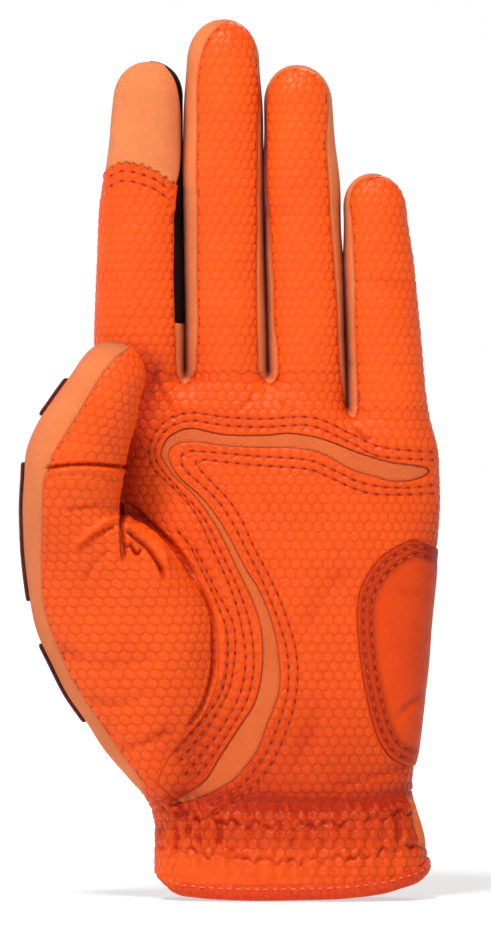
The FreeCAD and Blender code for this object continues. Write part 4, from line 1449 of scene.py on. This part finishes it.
def sew_finger(name):
    """Along the finger's leather, just inside its edge where the palm side shows it."""
    edge = LEATHER[name]
    column = FINGERS[name]
    half = (edge[:, 0] - column.cx(edge[:, 1])) / column.a(edge[:, 1])
    low_end, high_end = ROOT_Z[name] + 0.6, 170 if name == "index" else 300
    visible = (np.abs(half) < 0.93) & (edge[:, 1] > low_end) & (edge[:, 1] < high_end)
    centre = np.array([column.cx(np.array([column.cap_z]))[0], column.cap_z - 4])
    inwards = np.column_stack([-np.sign(half), np.zeros(len(half))])
    over = edge[:, 1] > centre[1]
    inwards[over] = (centre - edge[over]) / np.linalg.norm(centre - edge[over], axis=1)[:, None]
    edge = edge + inwards * EDGE_INSET
    for upper in (False, True):
        picks = np.flatnonzero(visible & ((edge[:, 1] > SPLIT_Z[name]) == upper))
        runs = np.split(picks, np.flatnonzero(np.diff(picks) > 1) + 1)
        rows = [fine_row(edge[run], name) for run in runs if len(run) > 3]
        if rows:
            sew(f"{name}_edge_{'upper' if upper else 'lower'}", rows, finger_bend(name, upper))


def sew_crotches():
    rows = []
    for path in WEBS:
        picks = np.flatnonzero(path[:, 1] < ROOT_Z["index"] + 1.5)
        bottom = path[picks[0]:picks[-1] + 1]
        out = bottom - bottom.mean(0) - (0, 2.0)
        rows.append(fine_row(bottom + EDGE_INSET * out / np.linalg.norm(out, axis=1)[:, None]))
    sew("crotches", rows, "palm")


def sew_thumb():
    z = np.arange(29.5, 133.6, 0.8)
    sew("thumb_edge", [fine_row(np.column_stack([THUMB_SEAM(z) + EDGE_INSET, z]))], THUMB_BEND)


def sew_cuff():
    p, out = hem_line(rise=2.45)
    walked = np.concatenate([[0], np.cumsum(np.linalg.norm(np.diff(p, axis=0), axis=1))])
    at = np.arange(1.2, walked[-1] - 1.2, 2.2)
    p = np.column_stack([np.interp(at, walked, c) for c in p.T])
    out = np.column_stack([np.interp(at, walked, c) for c in out.T])
    threads, _ = stitch_row(p + out * 1.16, out)
    # the cuff's stitches take the lighter copy of the thread, a painted highlight
    emit("cuff_thread", threads, "highlit_thread", "palm")


# ---- the back's fittings --------------------
def pile(size):
    """Fuzz or hooks, as a small relief."""
    def relief(data):
        return size * np.sin(data[:, 6] * 4.1) * np.sin(data[:, 7] * 4.3)
    return relief


def make_fittings():
    emit("back_leather", slab(YOKE, 0.0, 0.95), "leather_smooth", "palm", ["back_yoke"])
    loops = slab(rounded(-25, -8, 15, 39, 2, 2), 0.0, 1.3, relief=pile(0.12))
    emit("loop_field", loops, "loop", "palm", ["loop_patch"])
    edges = [slab(rounded(-7.5, -4.0, 9, 52.5, 0.6, 0.6), 0.0, 1.0),
             slab(rounded(-2.0, 1.5, 9, 52.5, 0.6, 0.6), 0.0, 1.0),
             slab(rounded(-7.5, 1.5, 50.2, 53.6, 0.8, 0.8), 0.0, 1.05)]
    emit("vent_tape", join(edges), "binding", "palm", ["vent_binding"])
    emit("tab_root", slab(rounded(13.3, 25, 13, 41, 0.6, 3), 0.0, 3.2), "leather_smooth", "palm",
         ["tab_anchor"])
    emit("tab_strap", slab(rounded(-27, 13, 13, 41, 8, 0.6), 1.9, 3.2), "leather_smooth", "closure",
         ["closure_tab"])
    turn = np.linspace(0, 2 * np.pi, 72, endpoint=False)
    disc = np.column_stack([-13 + 11 * np.cos(turn), 27 + 11 * np.sin(turn)])
    emit("tab_disc", slab(disc, 3.2, 4.4), "badge", "closure", ["tab_badge"])
    hooks = slab(rounded(-23, -9, 17, 37, 1.5, 1.5), 1.35, 1.95, relief=pile(0.05))
    emit("hook_field", hooks, "hook", "closure", ["hook_patch"])
    elastic = slab(rounded(-24, 24, 14, 22, 1, 1), -1.9, -1.15, back=False)
    emit("elastic_strip", elastic, "knit_back", "palm", ["wrist_elastic"])


# ---- camera, light and floor --------------------
VIEW_DISTANCE = 2.0
VIEW_HEIGHT = 0.2266    # what the picture spans at the glove
SENSOR = 36
FLOOR_REACH = 9
FLOOR_GAP = 0.0002


def link(name, data):
    obj = bpy.data.objects.new(name, data)
    bpy.context.scene.collection.objects.link(obj)
    return obj


def make_camera():
    """Level, straight in front of the palm, and far enough away to flatten it."""
    camera = link("camera", bpy.data.cameras.new("camera"))
    camera.data.sensor_fit = "VERTICAL"
    camera.data.sensor_height = SENSOR
    camera.data.lens = SENSOR * VIEW_DISTANCE / VIEW_HEIGHT
    camera.data.clip_end = 20
    camera.location = (-0.0124, -VIEW_DISTANCE, 0.1065)
    camera.rotation_euler = (math.pi / 2, 0, 0)
    bpy.context.scene.camera = camera
    bpy.context.scene.view_settings.view_transform = "Standard"


def area_light(name, where, towards, size, watts):
    light = bpy.data.lights.new(name, "AREA")
    light.shape, light.size, light.energy = "DISK", size, watts
    obj = link(name, light)
    obj.location = where
    obj.rotation_euler = (Vector(towards) - Vector(where)).to_track_quat("-Z", "Y").to_euler()


def make_lights():
    """A key from above, a fill from the thumb's side and one from behind, in a room bright at eye level."""
    area_light("key_light", (-0.22, -0.62, 1.15), (0, 0, 0.1), 0.26, 15.5)
    area_light("fill_light", (-1.0, -1.2, 0.25), (0, 0, 0.08), 0.7, 2.6)
    area_light("back_light", (0.3, 1.1, 1.0), (0, 0, 0.1), 0.6, 6)
    world = bpy.data.worlds.new("studio")
    bpy.context.scene.world = world
    world.use_nodes = True
    nodes, links = world.node_tree.nodes, world.node_tree.links
    height = nodes.new("ShaderNodeSeparateXYZ")
    links.new(nodes.new("ShaderNodeTexCoord").outputs["Generated"], height.inputs[0])
    glow = nodes.new("ShaderNodeMapRange")
    glow.interpolation_type = "SMOOTHSTEP"
    for i, value in enumerate((0.08, 0.4, 1.0, 0.14)):
        glow.inputs[i + 1].default_value = value
    links.new(height.outputs["Z"], glow.inputs[0])
    links.new(glow.outputs[0], nodes["Background"].inputs["Strength"])
    nodes["Background"].inputs["Color"].default_value = (1, 1, 1, 1)


def make_floor():
    """Pale and level, and a little brighter away from the glove, where no lamp reaches."""
    s = Shader("floor")
    where = s.node("ShaderNodeTexCoord").outputs["Object"]
    spot = s.noise(where, 60.0)
    s.finish(s.mix(spot, (0.46, 0.46, 0.46, 1), (0.48, 0.48, 0.48, 1)), 0.8, s.bump(spot, 0.0001, 0.2))
    s.bsdf.inputs["Emission Color"].default_value = (1, 1, 1, 1)
    away = s.node("ShaderNodeVectorMath")
    away.operation = "LENGTH"
    s.put(away.inputs[0], where)
    s.put(s.bsdf.inputs["Emission Strength"], s.ridged(away.outputs["Value"], 0.25, 1.2, 0.55, 0.95))
    mesh = bpy.data.meshes.new("floor")
    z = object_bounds()[0][2] - FLOOR_GAP
    corners = [(-FLOOR_REACH, -FLOOR_REACH, z), (FLOOR_REACH, -FLOOR_REACH, z),
               (FLOOR_REACH, FLOOR_REACH, z), (-FLOOR_REACH, FLOOR_REACH, z)]
    mesh.from_pydata(corners, [], [(0, 1, 2, 3)])
    mesh.materials.append(s.material)
    return link("floor", mesh)


make_hand()
for finger_name in ORDER:
    make_finger(finger_name)
emit("cuff_tape", binding_tape(), "binding", "palm", ["cuff_binding"])
sew_palm()
for finger_name in ORDER:
    sew_finger(finger_name)
sew_crotches()
sew_thumb()
sew_cuff()
make_fittings()
make_camera()
make_lights()
make_floor()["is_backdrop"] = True
